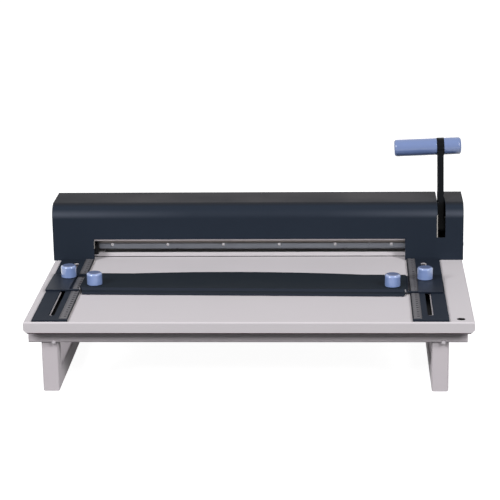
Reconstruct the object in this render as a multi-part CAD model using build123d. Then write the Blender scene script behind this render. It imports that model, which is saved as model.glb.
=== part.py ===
from build123d import *
import math
import os

# Desktop paper creasing machine: a folded table on two tube legs, a folded cover over a press
# unit, a hand lever on the right, and a stop plate that slides between two slotted guides.
# Millimetres. X runs to the right from the middle of the table, "y" in the names below is the
# distance behind the table's front edge, and "z" is the height above the table's top face.

# ---- table and stand
table_width = 640.0
table_depth = 410.0
table_sheet = 2.0
table_lip = 16.0
table_bend = 2.5
lip_relief = 4.0
lip_relief_run = 12.0
plug_inset = 18.7
plug_setback = 15.1
plug_radius = 6.0
plug_recess = 0.4
stand_height = 110.0
crossbar_inset = 6.7
crossbar_shift = -2.2
crossbar_setback = 15.0
crossbar_depth = 25.0
crossbar_drop = 35.4
crossbar_corner = 2.5
leg_tube_width = 24.0
leg_tube_depth = 27.0
leg_corner = 2.5
left_leg_inset = 34.1
right_leg_inset = 47.1
leg_setback = 18.0
stand_screw_inset = 96.0
stand_screw_sink = 6.0

# ---- guides with their rulers; the tracks are the lines that the outer clamp studs run on
guide_width = 51.6
guide_thick = 2.3
guide_setback = 2.5
left_guide_inset = 37.8
right_guide_inset = 61.6
track_shift = 0.7
guide_slot_width = 8.4
guide_slot_front = 24.0
guide_slot_rear_gap = 15.4
guide_slot_shift = 0.8
guide_slot_spread = 0.4
table_slot_width = 7.0
table_slot_shift = 0.6
ruler_width = 12.6
ruler_thick = 0.8
ruler_recess = 0.5
ruler_border = 1.0
ruler_setback = 10.0
guide_screw_front = 60.0
guide_screw_count = 3
guide_screw_rear_gap = 13.4
guide_screw_shift = 19.0
guide_screw_radius = 1.5
guide_screw_head_radius = 3.0
guide_screw_head_height = 1.5
nut_track_sheet = 1.5
nut_track_depth = 7.5
nut_track_flange = 4.0
nut_track_gap = 1.1
nut_track_run_out = 4.0

# ---- cover
cover_rear_setback = 11.6
cover_depth = 87.0
cover_height = 89.3
cover_overhang = 1.4
cover_sheet = 1.5
cover_front_bend = 20.0
cover_back_bend = 5.0
mouth_left_inset = 19.1
mouth_right_inset = 33.0
mouth_height = 34.6
back_mouth_height = 16.0
lever_slot_width = 12.6
lever_slot_foot = 36.1
bracket_sheet = 2.5
bracket_height = 30.0
bracket_foot = 20.0
bracket_length = 55.0
cover_screw_radius = 2.0
cover_screw_pitch = 30.0
cover_screw_z = 18.0

# ---- press unit: bed, die, side frames; its places behind the table's front follow the crease
crease_rear_setback = 70.0
press_middle_x = -6.0
frame_side_room = 100.0
frame_thick = 8.0
frame_lead = 12.0
frame_length = 60.0
frame_foot = 10.0
frame_bolt_lead = 2.0
frame_bolt_pitch = 22.0
bed_lead = 8.0
bed_length = 60.0
bed_thick = 7.2
bed_front_round = 2.0
bed_screw_count = 4
bed_screw_inset = 60.0
bed_screw_lag = 18.0
die_lead = 5.5
die_lag = 10.5
die_height = 4.0
die_groove_width = 1.4
die_groove_depth = 1.0
die_inset = 32.5
tie_lag = 36.0
tie_z = 58.0
tie_radius = 6.0
tie_boss = 10.0
lay_lead = 15.5
lay_thick = 6.0
lay_width = 5.0
lay_foot = 6.5
lay_arm_height = 6.5
lay_height = 17.0
lay_round = 1.5
left_lay_inset = 24.2
right_lay_inset = 32.0

# ---- lever, shaft and cams
pivot_lag = 6.0
pivot_z = 45.0
shaft_radius = 7.0
shaft_left_end = 11.5
shaft_right_end = 41.0
bush_wall = 4.0
bush_flange = 2.0
bush_flange_wall = 3.0
frame_boss = 18.0
cam_thick = 8.0
cam_side_gap = 2.0
cam_base = 13.7
cam_rise_per_radian = 3.2
lever_swing_degrees = 95.0
lever_outset = 23.1
lever_thick = 9.6
lever_length = 125.6
lever_lean = 13.8
lever_shank = 24.0
lever_eye = 18.0
lever_eye_blend = 8.0
lever_hub_inner = 7.6
lever_hub_outer = 14.0
lever_hub_radius = 15.0
lever_pin_radius = 2.5
head_radius = 13.9
head_thick = 11.0
head_tilt = 2.1
grip_radius = 13.5
grip_round = 4.0
long_grip_length = 66.9
short_grip_length = 27.0
grip_rod_radius = 4.0
grip_rod_cover = 9.0

# ---- pressing beam
throat = 5.6
beam_height = 9.2
beam_depth = 14.0
beam_inset = 24.0
lug_height = 9.0
lug_depth = 16.0
lug_reach = 28.4
lug_lap = 6.0
bar_lead = 9.0
bar_left_inset = 25.0
bar_right_inset = 31.0
bar_chamfer = 2.0
blade_thick = 1.0
blade_height = 6.2
blade_reach = 0.8
blade_right_gap = 5.0
clamp_screw_left_inset = 45.2
clamp_screw_right_inset = 53.8
clamp_screw_count = 6
clamp_screw_z = 20.3
clamp_head_radius = 2.3
clamp_head_height = 2.2
clamp_recess = 2.7
clamp_shank_radius = 1.5
clamp_shank_length = 13.0
post_radius = 3.5
post_inset = 14.0
post_height = 30.5
spring_radius = 5.7
spring_wire = 0.8
spring_turns = 4.5

# ---- stop, carriages and clamp knobs, drawn square and then turned to the skewed setting;
# ---- their places follow the row of the two outer studs and the two tracks
stud_row_gap = 102.2
stop_skew = 1.33
carriage_thick = 2.3
carriage_lead = 67.7
carriage_lag = 13.6
right_carriage_inset = 1.0
window_lead = 63.2
window_lag = 5.8
left_window_lap = 1.5
left_window_width = 17.4
right_window_lap = 0.6
right_window_width = 14.7
window_relief = 2.6
window_relief_height = 0.7
carriage_notch_gap = 0.4
tongue_reach = 21.0
stop_thick = 2.3
stop_left_gap = 25.9
stop_right_gap = 28.7
stop_lead = 77.9
stop_lag = 11.1
stop_bow = 10.6
stop_bow_left_gap = 97.9
stop_bow_right_gap = 92.7
stop_step_lead = 62.7
stop_step_run = 3.5
stop_step_drop = 3.4
stop_lip_gap = 0.4
stop_lip_bend = 1.5
stop_end_cut = 6.0
stop_end_cut_run = 14.0
stop_end_step = 3.6
stop_end_step_run = 16.8
inner_row_lead = 45.1
left_inner_gap = 46.5
right_inner_gap = 48.6
knob_radius = 11.6
knob_height = 18.0
knob_top_round = 3.0
knob_foot_round = 0.8
knob_gap = 0.2
knob_bore_depth = 9.0
outer_stud_radius = 2.5
inner_stud_radius = 2.5
inner_stud_drop = 1.1
clamp_nut_width = 15.0
clamp_nut_length = 22.0
clamp_nut_thick = 5.0

# ---- clearances
fit_gap = 0.05
free_gap = 0.35
seat_gap = 0.1
side_gap = 0.5

# ---- fasteners under the table
bolt_radius = 3.0
bolt_head_radius = 5.0
bolt_head_height = 4.0
bolt_grip = 14.0

# ---- places that follow from the sizes above
table_front_y = -table_depth / 2
table_half = table_width / 2
plug_x = table_half - plug_inset
left_leg_x = -table_half + left_leg_inset
right_leg_x = table_half - right_leg_inset
crossbar_length = table_width - 2 * crossbar_inset
left_guide_x = -table_half + left_guide_inset
right_guide_x = table_half - right_guide_inset
left_track_x = left_guide_x - track_shift
right_track_x = right_guide_x - track_shift

crease_y = table_depth - crease_rear_setback
pivot_y = crease_y + pivot_lag
tie_y = crease_y + tie_lag
bed_front = crease_y - bed_lead
bed_screw_y = crease_y + bed_screw_lag
bar_front = crease_y - bar_lead
lay_front = crease_y - lay_lead
frame_front = crease_y - frame_lead
frame_bolt_places = (crease_y - frame_bolt_lead, crease_y - frame_bolt_lead + frame_bolt_pitch)

cover_back = table_depth - cover_rear_setback
cover_front = cover_back - cover_depth
cover_half = table_half + cover_overhang
cheek_inner = cover_half - cover_sheet
bracket_front = cover_front + (cover_depth - bracket_length) / 2
cover_screw_places = (bracket_front + (bracket_length - cover_screw_pitch) / 2,
                      bracket_front + (bracket_length + cover_screw_pitch) / 2)
guide_rear = cover_front - seat_gap
guide_slot_rear = cover_front - guide_slot_rear_gap

frame_gap = table_width - frame_side_room
frame_left_x = press_middle_x - frame_gap / 2
frame_right_x = press_middle_x + frame_gap / 2
mouth_left = frame_left_x + mouth_left_inset
mouth_right = frame_right_x - mouth_right_inset
die_left = frame_left_x + die_inset
die_right = frame_right_x - die_inset
bar_left = frame_left_x + bar_left_inset
bar_right = frame_right_x - bar_right_inset
bar_bottom = bed_thick + throat
bar_top = bar_bottom + beam_height
blade_foot = bar_bottom - blade_reach
beam_front = crease_y + blade_thick / 2
beam_back = beam_front + beam_depth
beam_left = frame_left_x + beam_inset
beam_right = frame_right_x - beam_inset
lug_front = pivot_y - lug_depth / 2
lug_back = pivot_y + lug_depth / 2
lug_top = bar_top + lug_height
left_post_x = frame_left_x + post_inset + side_gap
right_post_x = frame_right_x - post_inset - side_gap
left_cam_x = frame_left_x + cam_thick / 2 + cam_side_gap
right_cam_x = frame_right_x - cam_thick / 2 - cam_side_gap
lever_x = frame_right_x + lever_outset
lever_swing = math.radians(lever_swing_degrees)

stud_row_y = cover_front - stud_row_gap
inner_row_y = stud_row_y - inner_row_lead
left_inner_x = left_track_x + left_inner_gap
right_inner_x = right_track_x - right_inner_gap
carriage_front = stud_row_y - carriage_lead
carriage_rear = stud_row_y + carriage_lag
stop_left = left_track_x + stop_left_gap
stop_right = right_track_x - stop_right_gap
stop_front = stud_row_y - stop_lead
stop_rear = stud_row_y + stop_lag
stop_step_back = stud_row_y - stop_step_lead
stop_step_front = stop_step_back - stop_step_run
carriage_top = guide_thick + carriage_thick
stop_top = carriage_top + stop_thick


def block(x0, x1, y0, y1, z0, z1):
    """A rectangular block between the given limits."""
    middle = Pos((x0 + x1) / 2, table_front_y + (y0 + y1) / 2, stand_height + (z0 + z1) / 2)
    return middle * Box(x1 - x0, y1 - y0, z1 - z0)


def upright(x, y, radius, z0, z1):
    """A vertical cylinder."""
    return Pos(x, table_front_y + y, stand_height + (z0 + z1) / 2) * Cylinder(radius, z1 - z0)


def crosswise(x0, x1, y, z, radius):
    """A cylinder along X."""
    place = Pos((x0 + x1) / 2, table_front_y + y, stand_height + z)
    return place * Rot(0, 90, 0) * Cylinder(radius, x1 - x0)


def lengthwise(x, y0, y1, z, radius):
    """A cylinder along Y."""
    place = Pos(x, table_front_y + (y0 + y1) / 2, stand_height + z)
    return place * Rot(90, 0, 0) * Cylinder(radius, y1 - y0)


def side_plane(x):
    """The plane of a side view at x: its first axis is y, its second is z."""
    return Plane(origin=(x, table_front_y, stand_height), x_dir=(0, 1, 0), z_dir=(1, 0, 0))


def plan_plane(z):
    """The plane of a plan view at height z: its axes are X and y."""
    return Plane(origin=(0, table_front_y, stand_height + z), x_dir=(1, 0, 0), z_dir=(0, 0, 1))


def front_plane(y):
    """The plane of a front view at y: its axes are X and z."""
    return Plane(origin=(0, table_front_y + y, stand_height), x_dir=(1, 0, 0), z_dir=(0, -1, 0))


def polygon(points):
    """A closed face through the given points."""
    return make_face(Polyline(*points, close=True))


def slot_cut(x, y0, y1, width, z0, z1):
    """A round-ended slot along Y."""
    outline = SlotOverall(y1 - y0, width, rotation=90)
    return extrude(plan_plane(z0) * Pos(x, (y0 + y1) / 2) * outline, amount=z1 - z0)


def bolt_from_below(x, y, seat_z, length):
    """A hex-head bolt whose head bears on the underside at seat_z."""
    head_plane = plan_plane(seat_z - bolt_head_height) * Pos(x, y)
    head = extrude(head_plane * RegularPolygon(bolt_head_radius, 6), amount=bolt_head_height)
    return head + upright(x, y, bolt_radius, seat_z - 0.01, seat_z + length)


def bolt_hole(x, y, z0, z1):
    """The clearance hole of a bolt."""
    return upright(x, y, bolt_radius + fit_gap, z0, z1)


# ---- table and stand

def evenly(first, last, count):
    """Places at even steps from first to last."""
    return [first + i * (last - first) / (count - 1) for i in range(count)]


def bed_screw_xs():
    """The places of the bed's screws along X."""
    return evenly(frame_left_x + bed_screw_inset, frame_right_x - bed_screw_inset, bed_screw_count)


def guide_screw_ys():
    """The places of a guide plate's screws behind the table's front."""
    return evenly(guide_screw_front, cover_front - guide_screw_rear_gap, guide_screw_count)


def frame_middles():
    """The middle of the left and right side frame along X."""
    return frame_left_x - frame_thick / 2, frame_right_x + frame_thick / 2


def make_table_top():
    """A folded tray with its four lips, the two tracks for the clamp studs and the bolt holes."""
    half = table_half
    tray = block(-half, half, 0, table_depth, -table_lip, 0)
    tray = fillet(tray.edges().group_by(Axis.Z)[-1], table_bend)
    tray -= block(-half + table_sheet, half - table_sheet, table_sheet, table_depth - table_sheet,
                  -table_lip - 1, -table_sheet)
    corner = polygon([(half - lip_relief, -table_lip), (half + 1, -table_lip),
                      (half + 1, -table_lip + lip_relief + 1)])
    for y0 in (0, table_depth - lip_relief_run):
        relief = extrude(front_plane(y0 - 0.5) * corner, amount=-(lip_relief_run + 1))
        tray -= relief
        tray -= mirror(relief, Plane.YZ)
    for x in (left_track_x, right_track_x):
        slot_x = x + table_slot_shift
        tray -= slot_cut(slot_x, guide_slot_front, guide_slot_rear, table_slot_width, -table_sheet - 1, 1)
    tray -= upright(plug_x, plug_setback, plug_radius + fit_gap, -table_sheet - 1, 1)
    for x in frame_middles():
        for y in frame_bolt_places:
            tray -= bolt_hole(x, y, -table_sheet - 1, 1)
    for x in bed_screw_xs():
        tray -= bolt_hole(x, bed_screw_y, -table_sheet - 1, 1)
    for x, side in ((left_guide_x, -1), (right_guide_x, 1)):
        for y in guide_screw_ys():
            tray -= upright(x + side * guide_screw_shift, y, guide_screw_radius + fit_gap,
                            -table_sheet - 1, 1)
    return tray


def make_hole_plug():
    """The black plug in the hole near the table's front right corner."""
    return upright(plug_x, plug_setback, plug_radius, -table_sheet, -plug_recess)


def crossbar_limits(rear):
    """The front and back of a crossbar."""
    if rear:
        back = table_depth - crossbar_setback
        return back - crossbar_depth, back
    return crossbar_setback, crossbar_setback + crossbar_depth


def stand_screw_places(rear):
    """The two stand screws of a crossbar."""
    front, back = crossbar_limits(rear)
    reach = table_half - stand_screw_inset
    return [(crossbar_shift + side * reach, (front + back) / 2) for side in (-1, 1)]


def make_crossbar(rear):
    """A box-section bar under the table, its long edges rounded."""
    front, back = crossbar_limits(rear)
    left = crossbar_shift - crossbar_length / 2
    right = crossbar_shift + crossbar_length / 2
    bar = block(left, right, front, back, -crossbar_drop, -table_sheet)
    bar = fillet(bar.edges().filter_by(Axis.X), crossbar_corner)
    seat_z = -crossbar_drop + stand_screw_sink
    for x, y in stand_screw_places(rear):
        bar -= bolt_hole(x, y, -crossbar_drop - 1, seat_z + bolt_grip + 1)
        bar -= upright(x, y, bolt_head_radius + fit_gap, -crossbar_drop - 1, seat_z)
    return bar


def make_leg(x):
    """A welded frame of square tube: two uprights on a rail that stands on the floor."""
    left = x - leg_tube_width / 2
    right = x + leg_tube_width / 2
    back = table_depth - leg_setback
    leg = block(left, right, leg_setback, back, -stand_height, -crossbar_drop)
    leg -= block(left - 1, right + 1, leg_setback + leg_tube_depth, back - leg_tube_depth,
                 -stand_height + leg_tube_depth, -crossbar_drop + 1)
    corners = leg.edges().filter_by(lambda edge: edge.length > leg_tube_width + 0.1)
    return fillet(corners, leg_corner)


def make_stand_screws():
    """The bolts that hold the crossbars up against the table, their heads sunk in the bars."""
    places = stand_screw_places(False) + stand_screw_places(True)
    seat_z = -crossbar_drop + stand_screw_sink
    return Compound([bolt_from_below(x, y, seat_z, bolt_grip) for x, y in places])


# ---- guides and rulers

def make_guide_plate(x, side):
    """A slotted plate with a seat for the ruler along its inner edge; side is -1 on the left."""
    plate = block(x - guide_width / 2, x + guide_width / 2, guide_setback, guide_rear, 0, guide_thick)
    slot_x = outer_stud_x(side) + guide_slot_shift + side * guide_slot_spread
    plate -= slot_cut(slot_x, guide_slot_front, guide_slot_rear, guide_slot_width, -1, guide_thick + 1)
    ruler_left, ruler_right = ruler_limits(x, side)
    plate -= block(ruler_left - fit_gap, ruler_right + fit_gap, ruler_setback - fit_gap,
                   guide_rear + 1, guide_thick - ruler_recess, guide_thick + 1)
    for y in guide_screw_ys():
        plate -= upright(x + side * guide_screw_shift, y, guide_screw_radius + fit_gap, -1,
                         guide_thick - ruler_recess)
    return plate


def ruler_limits(x, side):
    """The left and right edge of the ruler on a guide plate."""
    inner = x - side * (guide_width / 2 - ruler_border)
    outer = inner + side * ruler_width
    return min(inner, outer), max(inner, outer)


def make_ruler(x, side):
    """A steel rule that lies in the guide plate's seat."""
    left, right = ruler_limits(x, side)
    seat = guide_thick - ruler_recess
    rule = block(left, right, ruler_setback, guide_rear, seat, seat + ruler_thick)
    return chamfer(rule.edges().filter_by(Axis.Y).group_by(Axis.Z)[-1], ruler_thick / 4)


def make_guide_screws():
    """Small screws from below that hold the guide plates."""
    screws = []
    for x, side in ((left_guide_x, -1), (right_guide_x, 1)):
        for y in guide_screw_ys():
            place = x + side * guide_screw_shift
            head = upright(place, y, guide_screw_head_radius,
                           -table_sheet - guide_screw_head_height, -table_sheet)
            shank = upright(place, y, guide_screw_radius, -table_sheet - 0.01,
                            guide_thick - 2 * ruler_recess)
            screws.append(head + shank)
    return Compound(screws)


def make_nut_track(side):
    """A folded channel welded under the table; the clamp nut slides in it and can't turn."""
    inner = clamp_nut_width / 2 + nut_track_gap
    outer = inner + nut_track_sheet
    edge = outer + nut_track_flange
    floor = nut_track_depth
    sheet = nut_track_sheet
    half = [(0, -floor), (inner, -floor), (inner, 0), (edge, 0), (edge, -sheet), (outer, -sheet),
            (outer, -floor - sheet), (0, -floor - sheet)]
    other_half = [(-x, z) for x, z in reversed(half[1:-1])]
    front = crossbar_setback + crossbar_depth + side_gap
    length = guide_slot_rear + nut_track_run_out - front
    section = Pos(outer_stud_x(side), -table_sheet) * polygon(half + other_half)
    track = extrude(front_plane(front) * section, amount=-length)
    return fillet(track.edges().filter_by(Axis.Y).group_by(Axis.Z)[0], nut_track_sheet)


# ---- cover

def cover_section(inset):
    """The cover's side view, drawn inside its outer face by inset."""
    outline = Rectangle(cover_depth - 2 * inset, cover_height - inset, align=(Align.MIN, Align.MIN))
    outline = Pos(cover_front + inset, 0) * outline
    front_corner = outline.vertices().sort_by(lambda v: v.Y - v.X)[-1]
    outline = fillet(front_corner, cover_front_bend - inset)
    back_corner = outline.vertices().sort_by(lambda v: v.Y + v.X)[-1]
    return fillet(back_corner, cover_back_bend - inset)


def make_cover():
    """A folded shell: front, top, back and cheeks, with the paper mouths and the lever slot."""
    shell = extrude(side_plane(-cover_half) * cover_section(0), amount=2 * cover_half)
    shell -= extrude(side_plane(-cheek_inner) * cover_section(cover_sheet), amount=2 * cheek_inner)
    shell -= block(mouth_left, mouth_right, cover_front - 1, pivot_y, -1, mouth_height)
    shell -= block(mouth_left, mouth_right, pivot_y, cover_back + 1, -1, back_mouth_height)
    slot_left = lever_x - lever_slot_width / 2
    slot_right = lever_x + lever_slot_width / 2
    shell -= block(slot_left, slot_right, cover_front - 1, cover_back + 1,
                   lever_slot_foot, cover_height + 1)
    shell -= block(slot_left, slot_right, pivot_y, cover_back + 1, -1, cover_height + 1)
    for side in (-1, 1):
        for y in cover_screw_places:
            shell -= crosswise(side * cover_half - 3, side * cover_half + 3, y, cover_screw_z,
                               cover_screw_radius + fit_gap)
    return shell


def make_cover_bracket(side):
    """An angle on the table that the cover's cheek is screwed to."""
    cheek = cheek_inner
    angle = polygon([(cheek, 0), (cheek, bracket_height), (cheek - bracket_sheet, bracket_height),
                     (cheek - bracket_sheet, bracket_sheet), (cheek - bracket_foot, bracket_sheet),
                     (cheek - bracket_foot, 0)])
    bracket = extrude(front_plane(bracket_front) * angle, amount=-bracket_length)
    if side < 0:
        bracket = mirror(bracket, Plane.YZ)
    for y in cover_screw_places:
        bracket -= crosswise(side * cheek - 5, side * cheek + 5, y, cover_screw_z,
                             cover_screw_radius + fit_gap)
    return bracket


def make_cover_screws():
    """The screws through the cheeks, two on each side, flush with the cheek's outer face."""
    tip = cheek_inner - bracket_sheet - cover_screw_radius
    screws = []
    for side in (-1, 1):
        for y in cover_screw_places:
            ends = sorted((side * cover_half, side * tip))
            screws.append(crosswise(ends[0], ends[1], y, cover_screw_z, cover_screw_radius))
    return Compound(screws)


# ---- press unit

def make_side_frame(x_inner, side):
    """A plate that carries a shaft bush and the tie bar; its outline is drawn round its bosses."""
    boss = Pos(pivot_y, pivot_z) * Circle(frame_boss)
    tie = Pos(tie_y, tie_z) * Circle(tie_boss)
    foot = Pos(frame_front + frame_length / 2, frame_foot / 2) * Rectangle(frame_length, frame_foot)
    outline = make_hull(boss.edges() + tie.edges() + foot.edges())
    left = x_inner - frame_thick if side < 0 else x_inner
    plate = extrude(side_plane(left) * outline, amount=frame_thick)
    right = left + frame_thick
    plate -= crosswise(left - 1, right + 1, pivot_y, pivot_z, shaft_radius + bush_wall + fit_gap)
    plate -= crosswise(left - 1, right + 1, tie_y, tie_z, bolt_radius + fit_gap)
    for y in frame_bolt_places:
        plate -= bolt_hole((left + right) / 2, y, -1, bolt_grip)
    return plate


def make_frame_bolts():
    """The bolts from below that hold the side frames and the bed."""
    bolts = []
    for x in frame_middles():
        for y in frame_bolt_places:
            bolts.append(bolt_from_below(x, y, -table_sheet, bolt_grip))
    for x in bed_screw_xs():
        bolts.append(bolt_from_below(x, bed_screw_y, -table_sheet, table_sheet + bed_thick / 2))
    return Compound(bolts)


def make_bed_plate():
    """The ground bed under the paper, with the die's groove and the bores of the two posts."""
    left = frame_left_x + side_gap
    right = frame_right_x - side_gap
    bed = block(left, right, bed_front, bed_front + bed_length, 0, bed_thick)
    front_edge = bed.edges().filter_by(Axis.X).group_by(Axis.Z)[-1].sort_by(Axis.Y)[0]
    bed = fillet(front_edge, bed_front_round)
    bed -= block(die_left - seat_gap, die_right + seat_gap, crease_y - die_lead - seat_gap,
                 crease_y + die_lag + seat_gap, bed_thick - die_height, bed_thick + 1)
    for x in (left_post_x, right_post_x):
        bed -= upright(x, pivot_y, post_radius + fit_gap, -1, bed_thick + 1)
    for x in bed_screw_xs():
        bed -= bolt_hole(x, bed_screw_y, -1, bed_thick / 2 + 0.5)
    return bed


def make_die_strip():
    """The steel matrix in the bed: a flat strip with the crease channel along its top."""
    strip = block(die_left, die_right, crease_y - die_lead, crease_y + die_lag,
                  bed_thick - die_height, bed_thick)
    return strip - block(die_left - 1, die_right + 1, crease_y - die_groove_width / 2,
                         crease_y + die_groove_width / 2, bed_thick - die_groove_depth,
                         bed_thick + 1)


def make_guide_post(x):
    """A post in the bed that the beam's lug slides on; its top is bevelled."""
    post = upright(x, pivot_y, post_radius, 0, post_height)
    return chamfer(post.edges().group_by(Axis.Z)[-1], 0.6)


def make_tie_bar():
    """The round bar that holds the side frames apart, tapped at both ends."""
    bar = crosswise(frame_left_x, frame_right_x, tie_y, tie_z, tie_radius)
    for x, side in ((frame_left_x, 1), (frame_right_x, -1)):
        ends = sorted((x - side, x + side * bolt_grip))
        bar -= crosswise(ends[0], ends[1], tie_y, tie_z, bolt_radius + fit_gap)
    return bar


def make_tie_screws():
    """The screws that draw the side frames onto the tie bar."""
    screws = []
    for x, side in ((frame_left_x, 1), (frame_right_x, -1)):
        outer = x - side * frame_thick
        head_ends = sorted((outer, outer - side * bolt_head_height))
        shank_ends = sorted((outer - side * 0.01, x + side * (bolt_grip - frame_thick)))
        head = crosswise(head_ends[0], head_ends[1], tie_y, tie_z, bolt_head_radius)
        screws.append(head + crosswise(shank_ends[0], shank_ends[1], tie_y, tie_z, bolt_radius))
    return Compound(screws)


def make_side_lay(inner, side):
    """A black tab at the end of the throat that the paper's edge runs along."""
    tab = sorted((inner, inner + side * lay_width))
    arm_end = frame_left_x - frame_thick if side < 0 else frame_right_x + frame_thick
    arm = sorted((inner, arm_end))
    lay = block(tab[0], tab[1], lay_front, lay_front + lay_thick, lay_foot, lay_foot + lay_height)
    lay = fillet(lay.edges().filter_by(Axis.Y).group_by(Axis.Z)[-1], lay_round)
    return lay + block(arm[0], arm[1], lay_front, frame_front, lay_foot, lay_foot + lay_arm_height)


def make_bush(x_inner, side):
    """A flanged bush for the shaft; its flange lies against the frame's outer face."""
    outer = x_inner + side * frame_thick
    barrel = sorted((x_inner, outer))
    flange = sorted((outer, outer + side * bush_flange))
    bush = crosswise(barrel[0], barrel[1], pivot_y, pivot_z, shaft_radius + bush_wall)
    bush += crosswise(flange[0], flange[1], pivot_y, pivot_z,
                      shaft_radius + bush_wall + bush_flange_wall)
    return bush - crosswise(barrel[0] - 5, barrel[1] + 5, pivot_y, pivot_z, shaft_radius + fit_gap)


# ---- lever, shaft and cams

def cam_point(turn, reach, slope):
    """The point of the cam that touches a flat follower after the shaft has turned by turn."""
    angle = -math.pi / 2 - turn
    normal = (math.cos(angle), math.sin(angle))
    tangent = (-math.sin(angle), math.cos(angle))
    return (pivot_y + reach * normal[0] - slope * tangent[0],
            pivot_z + reach * normal[1] - slope * tangent[1])


def cam_return(turn):
    """Reach and slope of the cam's idle side, a cubic from the top of the rise to the base."""
    span = 2 * math.pi - lever_swing
    t = (turn - lever_swing) / span
    rise = cam_rise_per_radian * lever_swing
    reach = cam_base + rise * (1 + t * t * (2 * t - 3))
    reach += cam_rise_per_radian * span * t * (1 - t) ** 2
    slope = rise * 6 * t * (t - 1) / span
    slope += cam_rise_per_radian * (1 - t) * (1 - 3 * t)
    return reach, slope


def cam_outline():
    """The cam's side view: its flank lifts a flat follower evenly with the shaft's turn."""
    steps = 10
    flank = []
    for i in range(steps + 1):
        turn = lever_swing * i / steps
        reach = cam_base + cam_rise_per_radian * turn
        flank.append(cam_point(turn, reach, cam_rise_per_radian))
    idle = []
    for i in range(2 * steps + 1):
        turn = lever_swing + (2 * math.pi - lever_swing) * i / (2 * steps)
        reach, slope = cam_return(turn)
        idle.append(cam_point(turn, reach, slope))
    edges = [Spline(*flank), Spline(*idle), Line(idle[-1], flank[0])]
    return make_face(Wire(edges))


def make_cam(x):
    """A disc cam keyed to the shaft above the beam's lug."""
    left = x - cam_thick / 2
    disc = extrude(side_plane(left) * cam_outline(), amount=cam_thick)
    return disc - crosswise(left - 1, left + cam_thick + 1, pivot_y, pivot_z, shaft_radius + fit_gap)


def make_lever_shaft():
    """The shaft across the machine, with its cross hole for the lever's pin."""
    shaft = crosswise(frame_left_x - shaft_left_end, frame_right_x + shaft_right_end, pivot_y, pivot_z,
                      shaft_radius)
    shaft = chamfer(shaft.edges().filter_by(GeomType.CIRCLE), 1.0)
    return shaft - lever_pin_body(lever_pin_radius + fit_gap, 4 * shaft_radius)


def lever_pin_body(radius, length):
    """The cross pin of the lever's outer hub, square to the lever."""
    pin = Rot(90, 0, 0) * Cylinder(radius, length)
    return lever_frame() * Pos(lever_thick / 2 + lever_hub_outer / 2, 0, 0) * pin


def lever_frame():
    """The lever's own frame: origin at the pivot, Z up the shank, leaning back at rest."""
    pivot = Pos(lever_x, table_front_y + pivot_y, stand_height + pivot_z)
    return pivot * Rot(-lever_lean, 0, 0)


def head_frame():
    """The frame of the lever's head, where the grip crosses a little out of square."""
    return lever_frame() * Pos(0, 0, lever_length) * Rot(0, -head_tilt, 0)


def make_lever_plate():
    """The flat lever: round eye and hub at the shaft, straight shank, round head for the grip."""
    eye = Circle(lever_eye)
    shank = Pos(0, lever_length / 2) * Rectangle(lever_shank, lever_length)
    outline = eye + shank
    inner_corners = outline.vertices().sort_by(Axis.Y)
    necks = [v for v in inner_corners if 0 < v.Y < lever_length / 2]
    outline = fillet(necks, lever_eye_blend)
    flat = Plane(origin=(0, 0, 0), x_dir=(0, 1, 0), z_dir=(1, 0, 0))
    plate = Pos(-lever_thick / 2, 0, 0) * extrude(flat * outline, amount=lever_thick)
    hub_length = lever_hub_inner + lever_thick + lever_hub_outer
    hub_middle = (lever_hub_outer - lever_hub_inner) / 2
    plate += Pos(hub_middle, 0, 0) * Rot(0, 90, 0) * Cylinder(lever_hub_radius, hub_length)
    plate = lever_frame() * plate
    plate += head_frame() * Rot(0, 90, 0) * Cylinder(head_radius, head_thick)
    plate -= head_frame() * Rot(0, 90, 0) * Cylinder(grip_rod_radius + fit_gap, 2 * head_thick)
    plate -= crosswise(lever_x - hub_length, lever_x + hub_length, pivot_y, pivot_z,
                       shaft_radius + fit_gap)
    return plate - lever_pin_body(lever_pin_radius + fit_gap, 3 * lever_hub_radius)


def make_lever_pin():
    """The pin that ties the lever's hub to the shaft."""
    return lever_pin_body(lever_pin_radius, 2 * lever_hub_radius - 1)


def make_grip(length, side):
    """One half of the grip: a round-ended barrel, bored for the rod."""
    barrel = Rot(0, 90, 0) * Cylinder(grip_radius, length)
    ends = barrel.edges().filter_by(GeomType.CIRCLE).sort_by(Axis.X)
    far, near = (ends[0], ends[-1]) if side < 0 else (ends[-1], ends[0])
    barrel = fillet(far, grip_round)
    barrel = chamfer(barrel.edges().filter_by(GeomType.CIRCLE).sort_by(
        lambda edge: abs(edge.center().X - near.center().X))[0], 0.4)
    bore = length - grip_rod_cover
    bore_middle = -side * (length / 2 - bore / 2)
    barrel -= Pos(bore_middle, 0, 0) * Rot(0, 90, 0) * Cylinder(grip_rod_radius + fit_gap, bore)
    return head_frame() * Pos(side * (head_thick / 2 + length / 2), 0, 0) * barrel


def make_grip_rod():
    """The rod through the lever's head that carries both halves of the grip."""
    left = -head_thick / 2 - long_grip_length + grip_rod_cover + 0.5
    right = head_thick / 2 + short_grip_length - grip_rod_cover - 0.5
    rod = Pos((left + right) / 2, 0, 0) * Rot(0, 90, 0) * Cylinder(grip_rod_radius, right - left)
    return head_frame() * rod


# ---- pressing beam

def clamp_screw_xs():
    """The screw places along the clamp bar."""
    return evenly(frame_left_x + clamp_screw_left_inset, frame_right_x - clamp_screw_right_inset,
                  clamp_screw_count)


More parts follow.
